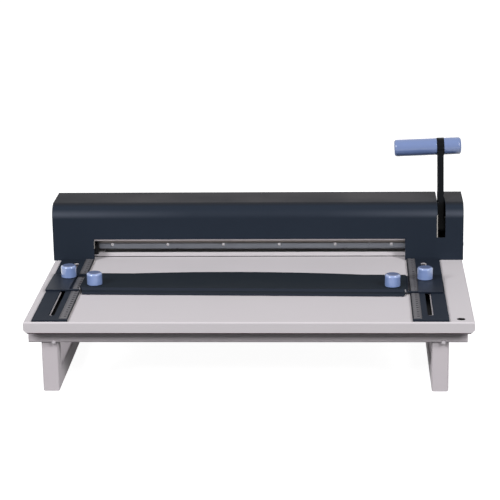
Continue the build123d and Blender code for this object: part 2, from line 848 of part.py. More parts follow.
def make_creasing_beam():
    """The beam with a raised lug at each end, bored for its guide post."""
    beam = block(beam_left, beam_right, beam_front, beam_back, bar_bottom, bar_top)
    for x_end, side in ((beam_left, 1), (beam_right, -1)):
        lug_limits = sorted((x_end + side * lug_lap, x_end + side * (lug_lap - lug_reach)))
        beam += block(lug_limits[0], lug_limits[1], lug_front, lug_back, bar_top, lug_top)
    for x in (left_post_x, right_post_x):
        beam -= upright(x, pivot_y, post_radius + fit_gap, 0, lug_top + 1)
    for x in clamp_screw_xs():
        beam -= lengthwise(x, beam_front - 1, screw_tip_y() + 1, clamp_screw_z,
                           clamp_shank_radius + fit_gap)
    return beam


def screw_tip_y():
    """How far back the clamp screws reach."""
    return bar_front + clamp_recess + clamp_shank_length


def make_clamp_bar():
    """The front bar: bevelled foot, a rebate for the blade and six half-open screw recesses."""
    back = crease_y + blade_thick / 2
    rebate_top = blade_foot + blade_height + seat_gap
    section = polygon([
        (bar_front, bar_bottom + bar_chamfer), (bar_front + bar_chamfer, bar_bottom),
        (back - blade_thick, bar_bottom), (back - blade_thick, rebate_top), (back, rebate_top),
        (back, bar_top), (bar_front, bar_top)])
    bar = extrude(side_plane(bar_left) * section, amount=bar_right - bar_left)
    for x in clamp_screw_xs():
        bar -= lengthwise(x, bar_front - 1, bar_front + clamp_recess, clamp_screw_z,
                          clamp_head_radius + 0.4)
        bar -= lengthwise(x, bar_front, back + 1, clamp_screw_z, clamp_shank_radius + fit_gap)
    return bar


def make_creasing_blade():
    """The creasing rule, its working edge rounded over."""
    left = die_left + side_gap
    right = bar_right - blade_right_gap
    blade = block(left, right, crease_y - blade_thick / 2, crease_y + blade_thick / 2,
                  blade_foot, blade_foot + blade_height)
    return fillet(blade.edges().filter_by(Axis.X).group_by(Axis.Z)[0], blade_thick * 0.45)


def make_clamp_screws():
    """Six socket-head screws that clamp the blade."""
    screws = []
    for x in clamp_screw_xs():
        seat = bar_front + clamp_recess
        head = lengthwise(x, seat - clamp_head_height, seat, clamp_screw_z, clamp_head_radius)
        head = fillet(head.edges().filter_by(GeomType.CIRCLE).sort_by(Axis.Y)[0], 0.5)
        shank = lengthwise(x, seat - 0.01, screw_tip_y(), clamp_screw_z, clamp_shank_radius)
        screws.append(head + shank)
    return Compound(screws)


def make_return_spring(x):
    """A compression spring round the post, from the bed up to the beam's lug."""
    height = bar_top - bed_thick - 2 * spring_wire - 0.1
    path = Helix(pitch=height / spring_turns, height=height, radius=spring_radius)
    start = Plane(origin=path @ 0, z_dir=path % 0)
    coil = sweep(start * Circle(spring_wire), path=path)
    return Pos(x, table_front_y + pivot_y, stand_height + bed_thick + spring_wire + 0.05) * coil


# ---- stop, carriages and knobs

def skewed(piece):
    """The piece turned about the left outer stud to the setting of the stop."""
    pivot = Pos(left_track_x, table_front_y + stud_row_y, 0)
    return pivot * Rot(0, 0, -stop_skew) * pivot.inverse() * piece


def make_stop_plate():
    """A plate folded down in two steps at the front, its rear edge bowed in the middle."""
    step = stop_top - stop_step_drop
    section = polygon([
        (stop_rear + stop_bow + 1, stop_top), (stop_step_back, stop_top), (stop_step_front, step),
        (stop_front, step), (stop_front, stop_lip_gap), (stop_front + stop_thick, stop_lip_gap),
        (stop_front + stop_thick, step - stop_thick), (stop_step_front - 1.0, step - stop_thick),
        (stop_step_back - 1.0, carriage_top), (stop_rear + stop_bow + 1, carriage_top)])
    plate = extrude(side_plane(stop_left) * section, amount=stop_right - stop_left)
    bends = plate.edges().filter_by(Axis.X)
    lip_bend = bends.sort_by(lambda e: abs(e.center().Y - table_front_y - stop_front)
                             + abs(e.center().Z - stand_height - step))[0]
    plate = fillet(lip_bend, stop_lip_bend)
    bow_left = left_track_x + stop_bow_left_gap
    bow_right = right_track_x - stop_bow_right_gap
    bow_middle = ((bow_left + bow_right) / 2, stop_rear + stop_bow)
    sides = Polyline(
        (bow_left, stop_rear), (stop_left, stop_rear),
        (stop_left, stop_front + stop_end_step_run),
        (stop_left + stop_end_step, stop_front + stop_end_cut_run),
        (stop_left + stop_end_cut, stop_front), (stop_right - stop_end_cut / 2, stop_front),
        (stop_right, stop_front + stop_end_cut_run), (stop_right, stop_rear),
        (bow_right, stop_rear))
    bow = ThreePointArc((bow_right, stop_rear), bow_middle, (bow_left, stop_rear))
    plan = extrude(plan_plane(-1) * make_face(sides.edges() + [bow]), amount=stop_top + 2)
    plate = plate & plan
    for x in (left_inner_x, right_inner_x):
        plate -= upright(x, inner_row_y, inner_stud_radius + free_gap, 0, stop_top + 1)
    return skewed(plate)


def outer_stud_x(side):
    """The place of an outer stud before the skew."""
    return left_track_x if side < 0 else right_track_x


def make_carriage(side):
    """A plate that rides on the guide, with a window over the ruler and a tongue for the stop."""
    guide_x = left_guide_x if side < 0 else right_guide_x
    inner_x = left_inner_x if side < 0 else right_inner_x
    outer_edge = guide_x + side * guide_width / 2 - (right_carriage_inset if side > 0 else 0)
    limits = sorted((outer_edge, inner_x - side * tongue_reach))
    plate = block(limits[0], limits[1], carriage_front, carriage_rear, guide_thick, carriage_top)
    lap = left_window_lap if side < 0 else right_window_lap
    width = left_window_width if side < 0 else right_window_width
    window_edge = guide_x - side * (guide_width / 2 + lap)
    window = sorted((window_edge, window_edge + side * width))
    rear = stud_row_y + window_lag if side < 0 else carriage_rear + 1
    plate = fillet(plate.edges().filter_by(Axis.Z).group_by(Axis.X)[0 if side < 0 else -1], 1.5)
    plate -= block(window[0], window[1], stud_row_y - window_lead, rear, 0, carriage_top + 1)
    plate -= block(window[0] - window_relief, window[1] + window_relief, carriage_front - 1,
                   carriage_rear + 1, 0, guide_thick + window_relief_height)
    stop_end = (stop_left if side < 0 else stop_right) + side * carriage_notch_gap
    notch = sorted((stop_end, limits[1] + 1 if side < 0 else limits[0] - 1))
    plate -= block(notch[0], notch[1], carriage_front - 1, stop_step_back + 1, 0, carriage_top + 1)
    plate -= upright(outer_stud_x(side), stud_row_y, outer_stud_radius + free_gap, 0, carriage_top + 1)
    plate -= upright(inner_x, inner_row_y, inner_stud_radius + fit_gap, 0, carriage_top + 1)
    return skewed(plate)


def make_knob(x, y, seat, stud_radius):
    """A turned clamp knob with rounded rims, bored for the stud."""
    foot = seat + knob_gap
    knob = upright(x, y, knob_radius, foot, foot + knob_height)
    knob = fillet(knob.edges().filter_by(GeomType.CIRCLE).sort_by(Axis.Z)[-1], knob_top_round)
    knob = fillet(knob.edges().filter_by(GeomType.CIRCLE).sort_by(Axis.Z)[0], knob_foot_round)
    return knob - upright(x, y, stud_radius + fit_gap, foot - 1, foot + knob_bore_depth)


def make_stud(x, y, seat, stud_radius, bottom):
    """The steel stud that turns with its knob."""
    top = seat + knob_gap + knob_bore_depth - 0.5
    return upright(x, y, stud_radius, bottom, top)


def make_clamp_nut(side):
    """The nut under the table that the outer stud draws up."""
    x = outer_stud_x(side)
    top = -table_sheet - free_gap
    nut = block(x - clamp_nut_width / 2, x + clamp_nut_width / 2,
                stud_row_y - clamp_nut_length / 2, stud_row_y + clamp_nut_length / 2,
                top - clamp_nut_thick, top)
    nut = fillet(nut.edges().filter_by(Axis.Z), 2.0)
    return nut - upright(x, stud_row_y, outer_stud_radius + fit_gap, top - 10, top + 1)


def outer_knob_parts(side):
    """The outer knob and its stud on one side."""
    x = outer_stud_x(side)
    knob = make_knob(x, stud_row_y, carriage_top, outer_stud_radius)
    stud = make_stud(x, stud_row_y, carriage_top, outer_stud_radius,
                     -table_sheet - free_gap - clamp_nut_thick)
    return skewed(knob), skewed(stud)


def inner_knob_parts(x):
    """An inner knob and its stud."""
    knob = make_knob(x, inner_row_y, stop_top, inner_stud_radius)
    stud = make_stud(x, inner_row_y, stop_top, inner_stud_radius, inner_stud_drop)
    return skewed(knob), skewed(stud)


def build_parts():
    """Every piece under its own name."""
    left_outer_knob, left_outer_stud = outer_knob_parts(-1)
    right_outer_knob, right_outer_stud = outer_knob_parts(1)
    left_inner_knob, left_inner_stud = inner_knob_parts(left_inner_x)
    right_inner_knob, right_inner_stud = inner_knob_parts(right_inner_x)
    return {
        "table_top": make_table_top(),
        "hole_plug": make_hole_plug(),
        "front_crossbar": make_crossbar(False),
        "rear_crossbar": make_crossbar(True),
        "left_leg": make_leg(left_leg_x),
        "right_leg": make_leg(right_leg_x),
        "stand_screws": make_stand_screws(),
        "left_guide_plate": make_guide_plate(left_guide_x, -1),
        "right_guide_plate": make_guide_plate(right_guide_x, 1),
        "left_ruler": make_ruler(left_guide_x, -1),
        "right_ruler": make_ruler(right_guide_x, 1),
        "guide_screws": make_guide_screws(),
        "left_nut_track": make_nut_track(-1),
        "right_nut_track": make_nut_track(1),
        "cover": make_cover(),
        "left_cover_bracket": make_cover_bracket(-1),
        "right_cover_bracket": make_cover_bracket(1),
        "cover_screws": make_cover_screws(),
        "left_side_frame": make_side_frame(frame_left_x, -1),
        "right_side_frame": make_side_frame(frame_right_x, 1),
        "frame_bolts": make_frame_bolts(),
        "bed_plate": make_bed_plate(),
        "die_strip": make_die_strip(),
        "left_guide_post": make_guide_post(left_post_x),
        "right_guide_post": make_guide_post(right_post_x),
        "tie_bar": make_tie_bar(),
        "tie_screws": make_tie_screws(),
        "left_side_lay": make_side_lay(frame_left_x + left_lay_inset, -1),
        "right_side_lay": make_side_lay(frame_right_x - right_lay_inset, 1),
        "left_bush": make_bush(frame_left_x, -1),
        "right_bush": make_bush(frame_right_x, 1),
        "lever_shaft": make_lever_shaft(),
        "left_cam": make_cam(left_cam_x),
        "right_cam": make_cam(right_cam_x),
        "lever_plate": make_lever_plate(),
        "lever_pin": make_lever_pin(),
        "grip_rod": make_grip_rod(),
        "long_grip": make_grip(long_grip_length, -1),
        "short_grip": make_grip(short_grip_length, 1),
        "creasing_beam": make_creasing_beam(),
        "clamp_bar": make_clamp_bar(),
        "creasing_blade": make_creasing_blade(),
        "clamp_screws": make_clamp_screws(),
        "left_return_spring": make_return_spring(left_post_x),
        "right_return_spring": make_return_spring(right_post_x),
        "stop_plate": make_stop_plate(),
        "left_carriage": make_carriage(-1),
        "right_carriage": make_carriage(1),
        "left_clamp_nut": skewed(make_clamp_nut(-1)),
        "right_clamp_nut": skewed(make_clamp_nut(1)),
        "left_outer_knob": left_outer_knob,
        "left_outer_stud": left_outer_stud,
        "left_inner_knob": left_inner_knob,
        "left_inner_stud": left_inner_stud,
        "right_inner_knob": right_inner_knob,
        "right_inner_stud": right_inner_stud,
        "right_outer_knob": right_outer_knob,
        "right_outer_stud": right_outer_stud,
    }


os.makedirs("parts", exist_ok=True)
for name, piece in build_parts().items():
    export_step(piece, os.path.join("parts", name + ".step"))
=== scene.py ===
"""Looks of a desktop paper creasing machine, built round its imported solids.

Lengths are metres in the frame of the solids: X to the machine's right, Y from the front edge
of the table to the covered press, Z up from the floor.
"""

import logging
import math
from collections.abc import Iterable, Sequence
from dataclasses import dataclass, field
from enum import Enum
from functools import cache

import bmesh
import bpy
from mathutils import Euler, Matrix, Vector

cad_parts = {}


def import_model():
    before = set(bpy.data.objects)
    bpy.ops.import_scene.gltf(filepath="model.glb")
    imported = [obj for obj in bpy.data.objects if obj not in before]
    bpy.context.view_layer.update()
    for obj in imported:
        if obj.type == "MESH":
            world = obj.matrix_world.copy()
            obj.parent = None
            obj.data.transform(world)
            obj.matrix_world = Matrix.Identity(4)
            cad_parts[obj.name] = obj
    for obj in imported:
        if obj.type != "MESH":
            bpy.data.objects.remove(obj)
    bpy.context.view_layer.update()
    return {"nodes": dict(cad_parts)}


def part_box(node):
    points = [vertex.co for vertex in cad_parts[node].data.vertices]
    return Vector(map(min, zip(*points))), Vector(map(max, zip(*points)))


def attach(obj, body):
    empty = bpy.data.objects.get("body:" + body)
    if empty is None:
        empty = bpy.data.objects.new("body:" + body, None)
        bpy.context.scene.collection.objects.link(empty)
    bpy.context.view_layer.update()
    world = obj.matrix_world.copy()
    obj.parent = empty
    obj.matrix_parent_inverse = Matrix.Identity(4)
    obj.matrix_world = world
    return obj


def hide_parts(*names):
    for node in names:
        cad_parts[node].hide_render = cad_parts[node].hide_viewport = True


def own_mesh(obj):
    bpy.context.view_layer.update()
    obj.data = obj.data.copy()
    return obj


LOG = logging.getLogger("creasing_machine")
MM = 0.001
QUARTER = math.pi / 2
Colour = tuple[float, float, float]
Point = tuple[float, float, float]
Feeds = dict[str | int, object]
Material = bpy.types.Material
Mesh = bpy.types.Mesh
Node = bpy.types.Node
Socket = bpy.types.NodeSocket
Tree = bpy.types.NodeTree


def tone(red: int, green: int, blue: int) -> Colour:
    """Turns a colour read off a screen into the linear values a shader takes.

    Args:
        red: Red, 0 to 255.
        green: Green, 0 to 255.
        blue: Blue, 0 to 255.

    Returns:
        The same colour in linear light.
    """

    def linear(value: int) -> float:
        """Returns one channel in linear light."""
        share = value / 255
        return share / 12.92 if share <= 0.04045 else ((share + 0.055) / 1.055) ** 2.4

    return linear(red), linear(green), linear(blue)


class Run(Enum):
    """The way the grinding or drawing lines of a metal run."""

    ALONG_X = (0.03, 1.0, 1.0)
    ALONG_Z = (1.0, 1.0, 0.03)
    ALL_ROUND = (1.0, 1.0, 1.0)


# ---------------------------------------------------------------- shader building

NUMBER = "NodeSocketFloat"
VECTOR = "NodeSocketVector"
MASK = {"Mask": NUMBER}
SKIN = {"Tone": NUMBER, "Height": NUMBER, "Gloss": NUMBER}
WHITE = (1.0, 1.0, 1.0, 1.0)

# Patches per metre of the broad noises.
SKIN_PATCHES = 9.0
STAIN_PATCHES = 30.0
RUB_PATCHES = 220.0

# Where most values of a noise lie.
NOISE_SPAN = (0.3, 0.7)
# Cosine of the turn at an edge where a rub mark starts, and where it is full.
EDGE_TURN = (0.99, 0.90)
# Upward part of the normal where a face starts to count as level, and where it fully does.
LEVEL_RISE = (0.80, 0.98)
# Strength of the painted highlight along a cover's fold, in its middle and at its ends.
HIGHLIGHT_STRENGTH = (0.12, 1.0)


class Sheet:
    """One node tree that shader or geometry nodes are laid out in."""

    def __init__(self, tree: Tree) -> None:
        """Keeps the tree to fill."""
        self.tree = tree

    def feed(self, target: Socket, value: object) -> None:
        """Links a socket to an input, or sets the input to a plain value.

        Args:
            target: The input.
            value: The socket, or the plain value.
        """
        if isinstance(value, Socket):
            self.tree.links.new(value, target)
        else:
            target.default_value = value

    def add(self, kind: str, feeds: Feeds | None = None, **settings: object) -> Node:
        """Adds a node.

        Args:
            kind: Blender's type name of the node.
            feeds: A socket or a plain value for each input, by its name or number.
            settings: Properties of the node by name.

        Returns:
            The new node.
        """
        node = self.tree.nodes.new(kind)
        for name, value in settings.items():
            setattr(node, name, value)
        for label, value in (feeds or {}).items():
            self.feed(node.inputs[label], value)
        return node

    def maths(self, operation: str, first: Socket, second: Socket | float = 0.0) -> Socket:
        """Adds a maths node.

        Args:
            operation: Blender's name of the operation.
            first: The first value.
            second: The second value, where the operation takes one.

        Returns:
            The result.
        """
        return self.add("ShaderNodeMath", {0: first, 1: second}, operation=operation).outputs[0]

    def noise(self, place: Socket, scale: Socket | float, detail: float = 2.0) -> Socket:
        """Adds a noise.

        Args:
            place: The place it is read at.
            scale: Its patches per metre.
            detail: How many finer layers it has.

        Returns:
            Its value, 0 to 1.
        """
        feeds = {"Vector": place, "Scale": scale, "Detail": detail}
        return self.add("ShaderNodeTexNoise", feeds).outputs[0]

    def ramp(
        self,
        value: Socket,
        given: tuple[Socket | float, Socket | float],
        wanted: tuple[float, float] = (0.0, 1.0),
        curve: str = "LINEAR",
    ) -> Socket:
        """Maps a value from one range to another and holds it at the ends.

        Args:
            value: The value.
            given: The range that it is mapped from.
            wanted: The range that it is mapped to.
            curve: Blender's name of the way between the ends.

        Returns:
            The mapped value.
        """
        labels = ("Value", "From Min", "From Max", "To Min", "To Max")
        feeds = dict(zip(labels, (value, *given, *wanted)))
        return self.add("ShaderNodeMapRange", feeds, interpolation_type=curve).outputs[0]

    def vector(self, operation: str, first: Socket, second: Socket) -> Node:
        """Adds a vector maths node for two vectors."""
        return self.add("ShaderNodeVectorMath", {0: first, 1: second}, operation=operation)


class GroupMaker(Sheet):
    """A shader node group with named sockets, the first of them the Place."""

    def __init__(
        self, name: str, inputs: dict[str, float | None], outputs: dict[str, str]
    ) -> None:
        """Starts the group.

        Args:
            name: The group's name.
            inputs: The start value of each number by its name, None for a vector.
            outputs: Socket type by output name.
        """
        super().__init__(bpy.data.node_groups.new(name, "ShaderNodeTree"))
        new_socket = self.tree.interface.new_socket
        for label, start in {"Place": None, **inputs}.items():
            kind = VECTOR if start is None else NUMBER
            socket = new_socket(name=label, in_out="INPUT", socket_type=kind)
            if start is not None:
                socket.default_value = start
        for label, kind in outputs.items():
            new_socket(name=label, in_out="OUTPUT", socket_type=kind)
        self.given = self.add("NodeGroupInput").outputs
        self.result = self.add("NodeGroupOutput").inputs

    def close(self, **outcome: Socket) -> Tree:
        """Feeds the group's outputs.

        Args:
            outcome: What each output gives, by its name.

        Returns:
            The finished group.
        """
        for label, value in outcome.items():
            self.feed(self.result[label], value)
        return self.tree

    def close_skin(self, fine: Socket, broad: Socket) -> Tree:
        """Ends a group that varies tone and gloss and has a relief.

        Args:
            fine: The fine relief, 0 to 1.
            broad: Broad patches, 0 to 1.

        Returns:
            The finished group, with Tone (about 1), Height and Gloss (0 to 1).
        """
        centred = self.maths("SUBTRACT", self.maths("ADD", fine, broad), 1.0)
        spread = self.maths("MULTIPLY", centred, self.given["Tone Spread"])
        return self.close(Tone=self.maths("ADD", spread, 1.0), Height=fine, Gloss=broad)


@cache
def grain_group() -> Tree:
    """The fine pimpled grain of a powder coat or moulded skin, built once.

    Returns:
        A group that puts out Tone (about 1), Height and Gloss (0 to 1, in broad patches).
    """
    group = GroupMaker("skin_grain", {"Pimples Per Metre": 1500.0, "Tone Spread": 0.04}, SKIN)
    place = group.given["Place"]
    fine = group.noise(place, group.given["Pimples Per Metre"])
    return group.close_skin(fine, group.noise(place, SKIN_PATCHES, detail=3.0))


@cache
def lines_group() -> Tree:
    """The drawn or ground lines of bare metal, built once.

    Returns:
        A group that puts out Tone (about 1), Height and Gloss (0 to 1).
    """
    inputs = {"Run": None, "Lines Per Metre": 2500.0, "Tone Spread": 0.1}
    group = GroupMaker("metal_lines", inputs, SKIN)
    place = group.given["Place"]
    stretched = group.vector("MULTIPLY", place, group.given["Run"]).outputs[0]
    lines = group.noise(stretched, group.given["Lines Per Metre"], detail=4.0)
    return group.close_skin(lines, group.noise(place, STAIN_PATCHES))


@cache
def edge_group() -> Tree:
    """The softened arris of a sheet or block and the rub mark along it, built once.

    Returns:
        A group that puts out Normal, rounded over at the edges, and Mask, 1 on a rubbed edge.
    """
    group = GroupMaker("soft_edges", {"Radius": 0.4 * MM, "Rub": 0.3}, {"Normal": VECTOR, **MASK})
    bevel = group.add("ShaderNodeBevel", {"Radius": group.given["Radius"]}, samples=4).outputs[0]
    normal = group.add("ShaderNodeNewGeometry").outputs["Normal"]
    turned = group.ramp(group.vector("DOT_PRODUCT", bevel, normal).outputs["Value"], EDGE_TURN)
    broken = group.maths("MULTIPLY", turned, group.noise(group.given["Place"], RUB_PATCHES))
    return group.close(Normal=bevel, Mask=group.maths("MULTIPLY", broken, group.given["Rub"]))


@cache
def level_group() -> Tree:
    """A mask of the faces that lie level and look up, built once.

    Returns:
        A group that puts out Mask, 1 on a level face.
    """
    group = GroupMaker("level_faces", {}, MASK)
    normal = group.add("ShaderNodeNewGeometry").outputs["Normal"]
    rise = group.add("ShaderNodeSeparateXYZ", {0: normal}).outputs["Z"]
    return group.close(Mask=group.ramp(rise, LEVEL_RISE))


@cache
def fold_group() -> Tree:
    """A mask of a painted highlight, the paler stripe along the fold of a cover's front, built
    once.

    Returns:
        A group that puts out Mask, 1 in the middle of the highlight near its two ends.
    """
    labels = ("Middle", "Half Height", "Front", "Near", "Far")
    group = GroupMaker("fold_band", dict.fromkeys(labels, 0.0), MASK)
    given = group.given
    place = group.add("ShaderNodeSeparateXYZ", {0: given["Place"]}).outputs
    lift = group.maths("ABSOLUTE", group.maths("SUBTRACT", place["Z"], given["Middle"]))
    level = group.ramp(lift, (0.0, given["Half Height"]), (1.0, 0.0), "SMOOTHSTEP")
    aside = group.maths("ABSOLUTE", place["X"])
    ends = group.ramp(aside, (given["Near"], given["Far"]), HIGHLIGHT_STRENGTH)
    facing = group.maths("LESS_THAN", place["Y"], given["Front"])
    both = group.maths("MULTIPLY", level, ends)
    return group.close(Mask=group.maths("MULTIPLY", both, facing))


def emptied(owner: Material | bpy.types.World) -> Tree:
    """Returns the own node tree of a material or a world, emptied.

    Args:
        owner: The material or world.

    Returns:
        Its empty tree.
    """
    owner.use_nodes = True
    owner.node_tree.nodes.clear()
    return owner.node_tree


class Surface(Sheet):
    """A material's tree with its principled shader, place and output."""

    def __init__(self, name: str) -> None:
        """Starts an empty material.

        Args:
            name: The material's name.
        """
        self.material = bpy.data.materials.new(name)
        super().__init__(emptied(self.material))
        self.shader = self.add("ShaderNodeBsdfPrincipled")
        self.add("ShaderNodeOutputMaterial", {"Surface": self.shader.outputs[0]})
        self.place = self.add("ShaderNodeTexCoord").outputs["Object"]

    def group(self, tree: Tree, **values: object) -> bpy.types.bpy_prop_collection:
        """Places a shared group and sets its inputs.

        Args:
            tree: The group.
            values: Input values by name, with _ for a space.

        Returns:
            The group's outputs.
        """
        feeds = {label.replace("_", " "): value for label, value in values.items()}
        return self.add("ShaderNodeGroup", {"Place": self.place, **feeds}, node_tree=tree).outputs

    def set(self, **values: object) -> None:
        """Feeds inputs of the shader, named with _ for a space."""
        for label, value in values.items():
            self.feed(self.shader.inputs[label.replace("_", " ")], value)

    def blend(self, mask: Socket, first: Colour | Socket, second: Colour) -> Socket:
        """Mixes two colours by a mask.

        Args:
            mask: 0 for the first, 1 for the second.
            first: The first colour, or a socket that gives it.
            second: The second colour.

        Returns:
            The mixed colour.
        """
        start = first if isinstance(first, Socket) else (*first, 1.0)
        feeds = {"Factor": mask, "A": start, "B": (*second, 1.0)}
        return self.add("ShaderNodeMix", feeds, data_type="RGBA").outputs["Result"]

    def paint(
        self, colour: Colour | Socket, tone_by: Socket, rubbed: Colour, mask: Socket
    ) -> None:
        """Lays the colour on, varied by a tone, with rubbed edges.

        Args:
            colour: The plain colour, or a socket that gives it.
            tone_by: A value about 1 that the colour is multiplied by.
            rubbed: The colour where an edge is rubbed.
            mask: 1 where it is rubbed.
        """
        varied = self.add(
            "ShaderNodeVectorMath", {0: colour, "Scale": tone_by}, operation="SCALE"
        )
        self.set(Base_Color=self.blend(mask, varied.outputs[0], rubbed))

    def roughen(self, low: float, high: float, by: Socket) -> None:
        """Varies the roughness between two limits by a noise."""
        self.set(Roughness=self.ramp(by, NOISE_SPAN, (low, high)))

    def bump(self, height: Socket, depth: float, over: Socket) -> None:
        """Presses a relief of a depth in metres into the surface, over a normal."""
        feeds = {"Distance": depth, "Height": height, "Normal": over}
        self.set(Normal=self.add("ShaderNodeBump", feeds).outputs[0])


@dataclass(frozen=True)
class FoldBand:
    """A painted highlight: the paler stripe along the fold of a cover's front."""

    colour: Colour
    middle: float
    half_height: float
    front: float
    near: float
    far: float

    def over(self, surface: Surface, colour: Colour | Socket) -> Socket:
        """Lays the painted highlight over a colour.

        Args:
            surface: The material's tree.
            colour: The colour under it, or a socket that gives it.

        Returns:
            The colour with the painted highlight.
        """
        band = surface.group(
            fold_group(),
            Middle=self.middle,
            Half_Height=self.half_height,
            Front=self.front,
            Near=self.near,
            Far=self.far,
        )
        return surface.blend(band["Mask"], colour, self.colour)


@dataclass(frozen=True)
class Coat:
    """A powder coat or spray coat on metal; its level faces may take a darker tone as painted
    shade.
    """

    name: str
    colour: Colour
    rubbed: Colour
    roughness: float = 0.5
    gloss: float = 0.3
    pimples: float = 1400.0
    relief: float = 0.02 * MM
    spread: float = 0.05
    uneven: float = 0.06
    edge: float = 0.5 * MM
    rub: float = 0.25
    # Painted shade: a darker colour laid on the level faces.
    top: Colour | None = None
    # Painted highlight along the fold, where there is one.
    band: FoldBand | None = None

    def make(self) -> Material:
        """Builds the material.

        Returns:
            The material.
        """
        surface = Surface(self.name)
        colour = self.colour
        # Darken the level faces with the top colour: painted shade.
        if self.top is not None:
            colour = surface.blend(surface.group(level_group())["Mask"], colour, self.top)
        # Lay the painted highlight along the fold.
        if self.band is not None:
            colour = self.band.over(surface, colour)
        grain = surface.group(
            grain_group(), Pimples_Per_Metre=self.pimples, Tone_Spread=self.spread
        )
        edges = surface.group(edge_group(), Radius=self.edge, Rub=self.rub)
        surface.paint(colour, grain["Tone"], self.rubbed, edges["Mask"])
        surface.roughen(
            self.roughness - self.uneven, self.roughness + self.uneven, grain["Gloss"]
        )
        surface.bump(grain["Height"], self.relief, edges["Normal"])
        surface.set(Specular_IOR_Level=self.gloss)
        return surface.material


@dataclass(frozen=True)
class Steel:
    """Bare or plated metal with its drawn lines."""

    name: str
    colour: Colour
    run: Run = Run.ALL_ROUND
    roughness: float = 0.34
    lines: float = 2500.0
    relief: float = 0.008 * MM
    spread: float = 0.16
    uneven: float = 0.08
    edge: float = 0.25 * MM
    rub: float = 0.2
    brighter: float = 1.25

    def make(self) -> Material:
        """Builds the material.

        Returns:
            The material.
        """
        surface = Surface(self.name)
        lines = surface.group(
            lines_group(), Run=self.run.value, Lines_Per_Metre=self.lines, Tone_Spread=self.spread
        )
        edges = surface.group(edge_group(), Radius=self.edge, Rub=self.rub)
        bright = tuple(min(1.0, self.brighter * channel) for channel in self.colour)
        surface.paint(self.colour, lines["Tone"], bright, edges["Mask"])
        surface.roughen(
            self.roughness - self.uneven, self.roughness + self.uneven, lines["Gloss"]
        )
        surface.bump(lines["Height"], self.relief, edges["Normal"])
        surface.set(Metallic=1.0)
        return surface.material


@dataclass(frozen=True)
class Moulded:
    """Moulded plastic, plain or lacquered; its level faces may take a darker tone as painted
    shade.
    """

    name: str
    colour: Colour
    roughness: float = 0.38
    gloss: float = 0.45
    # Painted shade: a darker colour laid on the level faces.
    top: Colour | None = None
    lacquer: float = 0.0
    lacquer_roughness: float = 0.06
    pimples: float = 2200.0
    relief: float = 0.01 * MM
    spread: float = 0.05
    uneven: tuple[float, float] = (-0.05, 0.08)
    edge: float = 0.3 * MM
    rub: float = 0.15
    paler: float = 1.2

    def make(self) -> Material:
        """Builds the material.

        Returns:
            The material.
        """
        surface = Surface(self.name)
        grain = surface.group(
            grain_group(), Pimples_Per_Metre=self.pimples, Tone_Spread=self.spread
        )
        edges = surface.group(edge_group(), Radius=self.edge, Rub=self.rub)
        if self.top is None:
            pale = tuple(min(1.0, self.paler * channel) for channel in self.colour)
            surface.paint(self.colour, grain["Tone"], pale, edges["Mask"])
        else:
            # Painted shade: the level faces take the top colour in place of a rubbed edge.
            upward = surface.group(level_group())
            surface.paint(self.colour, grain["Tone"], self.top, upward["Mask"])
        low, high = (self.roughness + step for step in self.uneven)
        surface.roughen(low, high, grain["Gloss"])
        surface.bump(grain["Height"], self.relief, edges["Normal"])
        surface.set(Specular_IOR_Level=self.gloss, Coat_Weight=self.lacquer)
        surface.set(Coat_Roughness=self.lacquer_roughness)
        return surface.material


Finish = Coat | Steel | Moulded


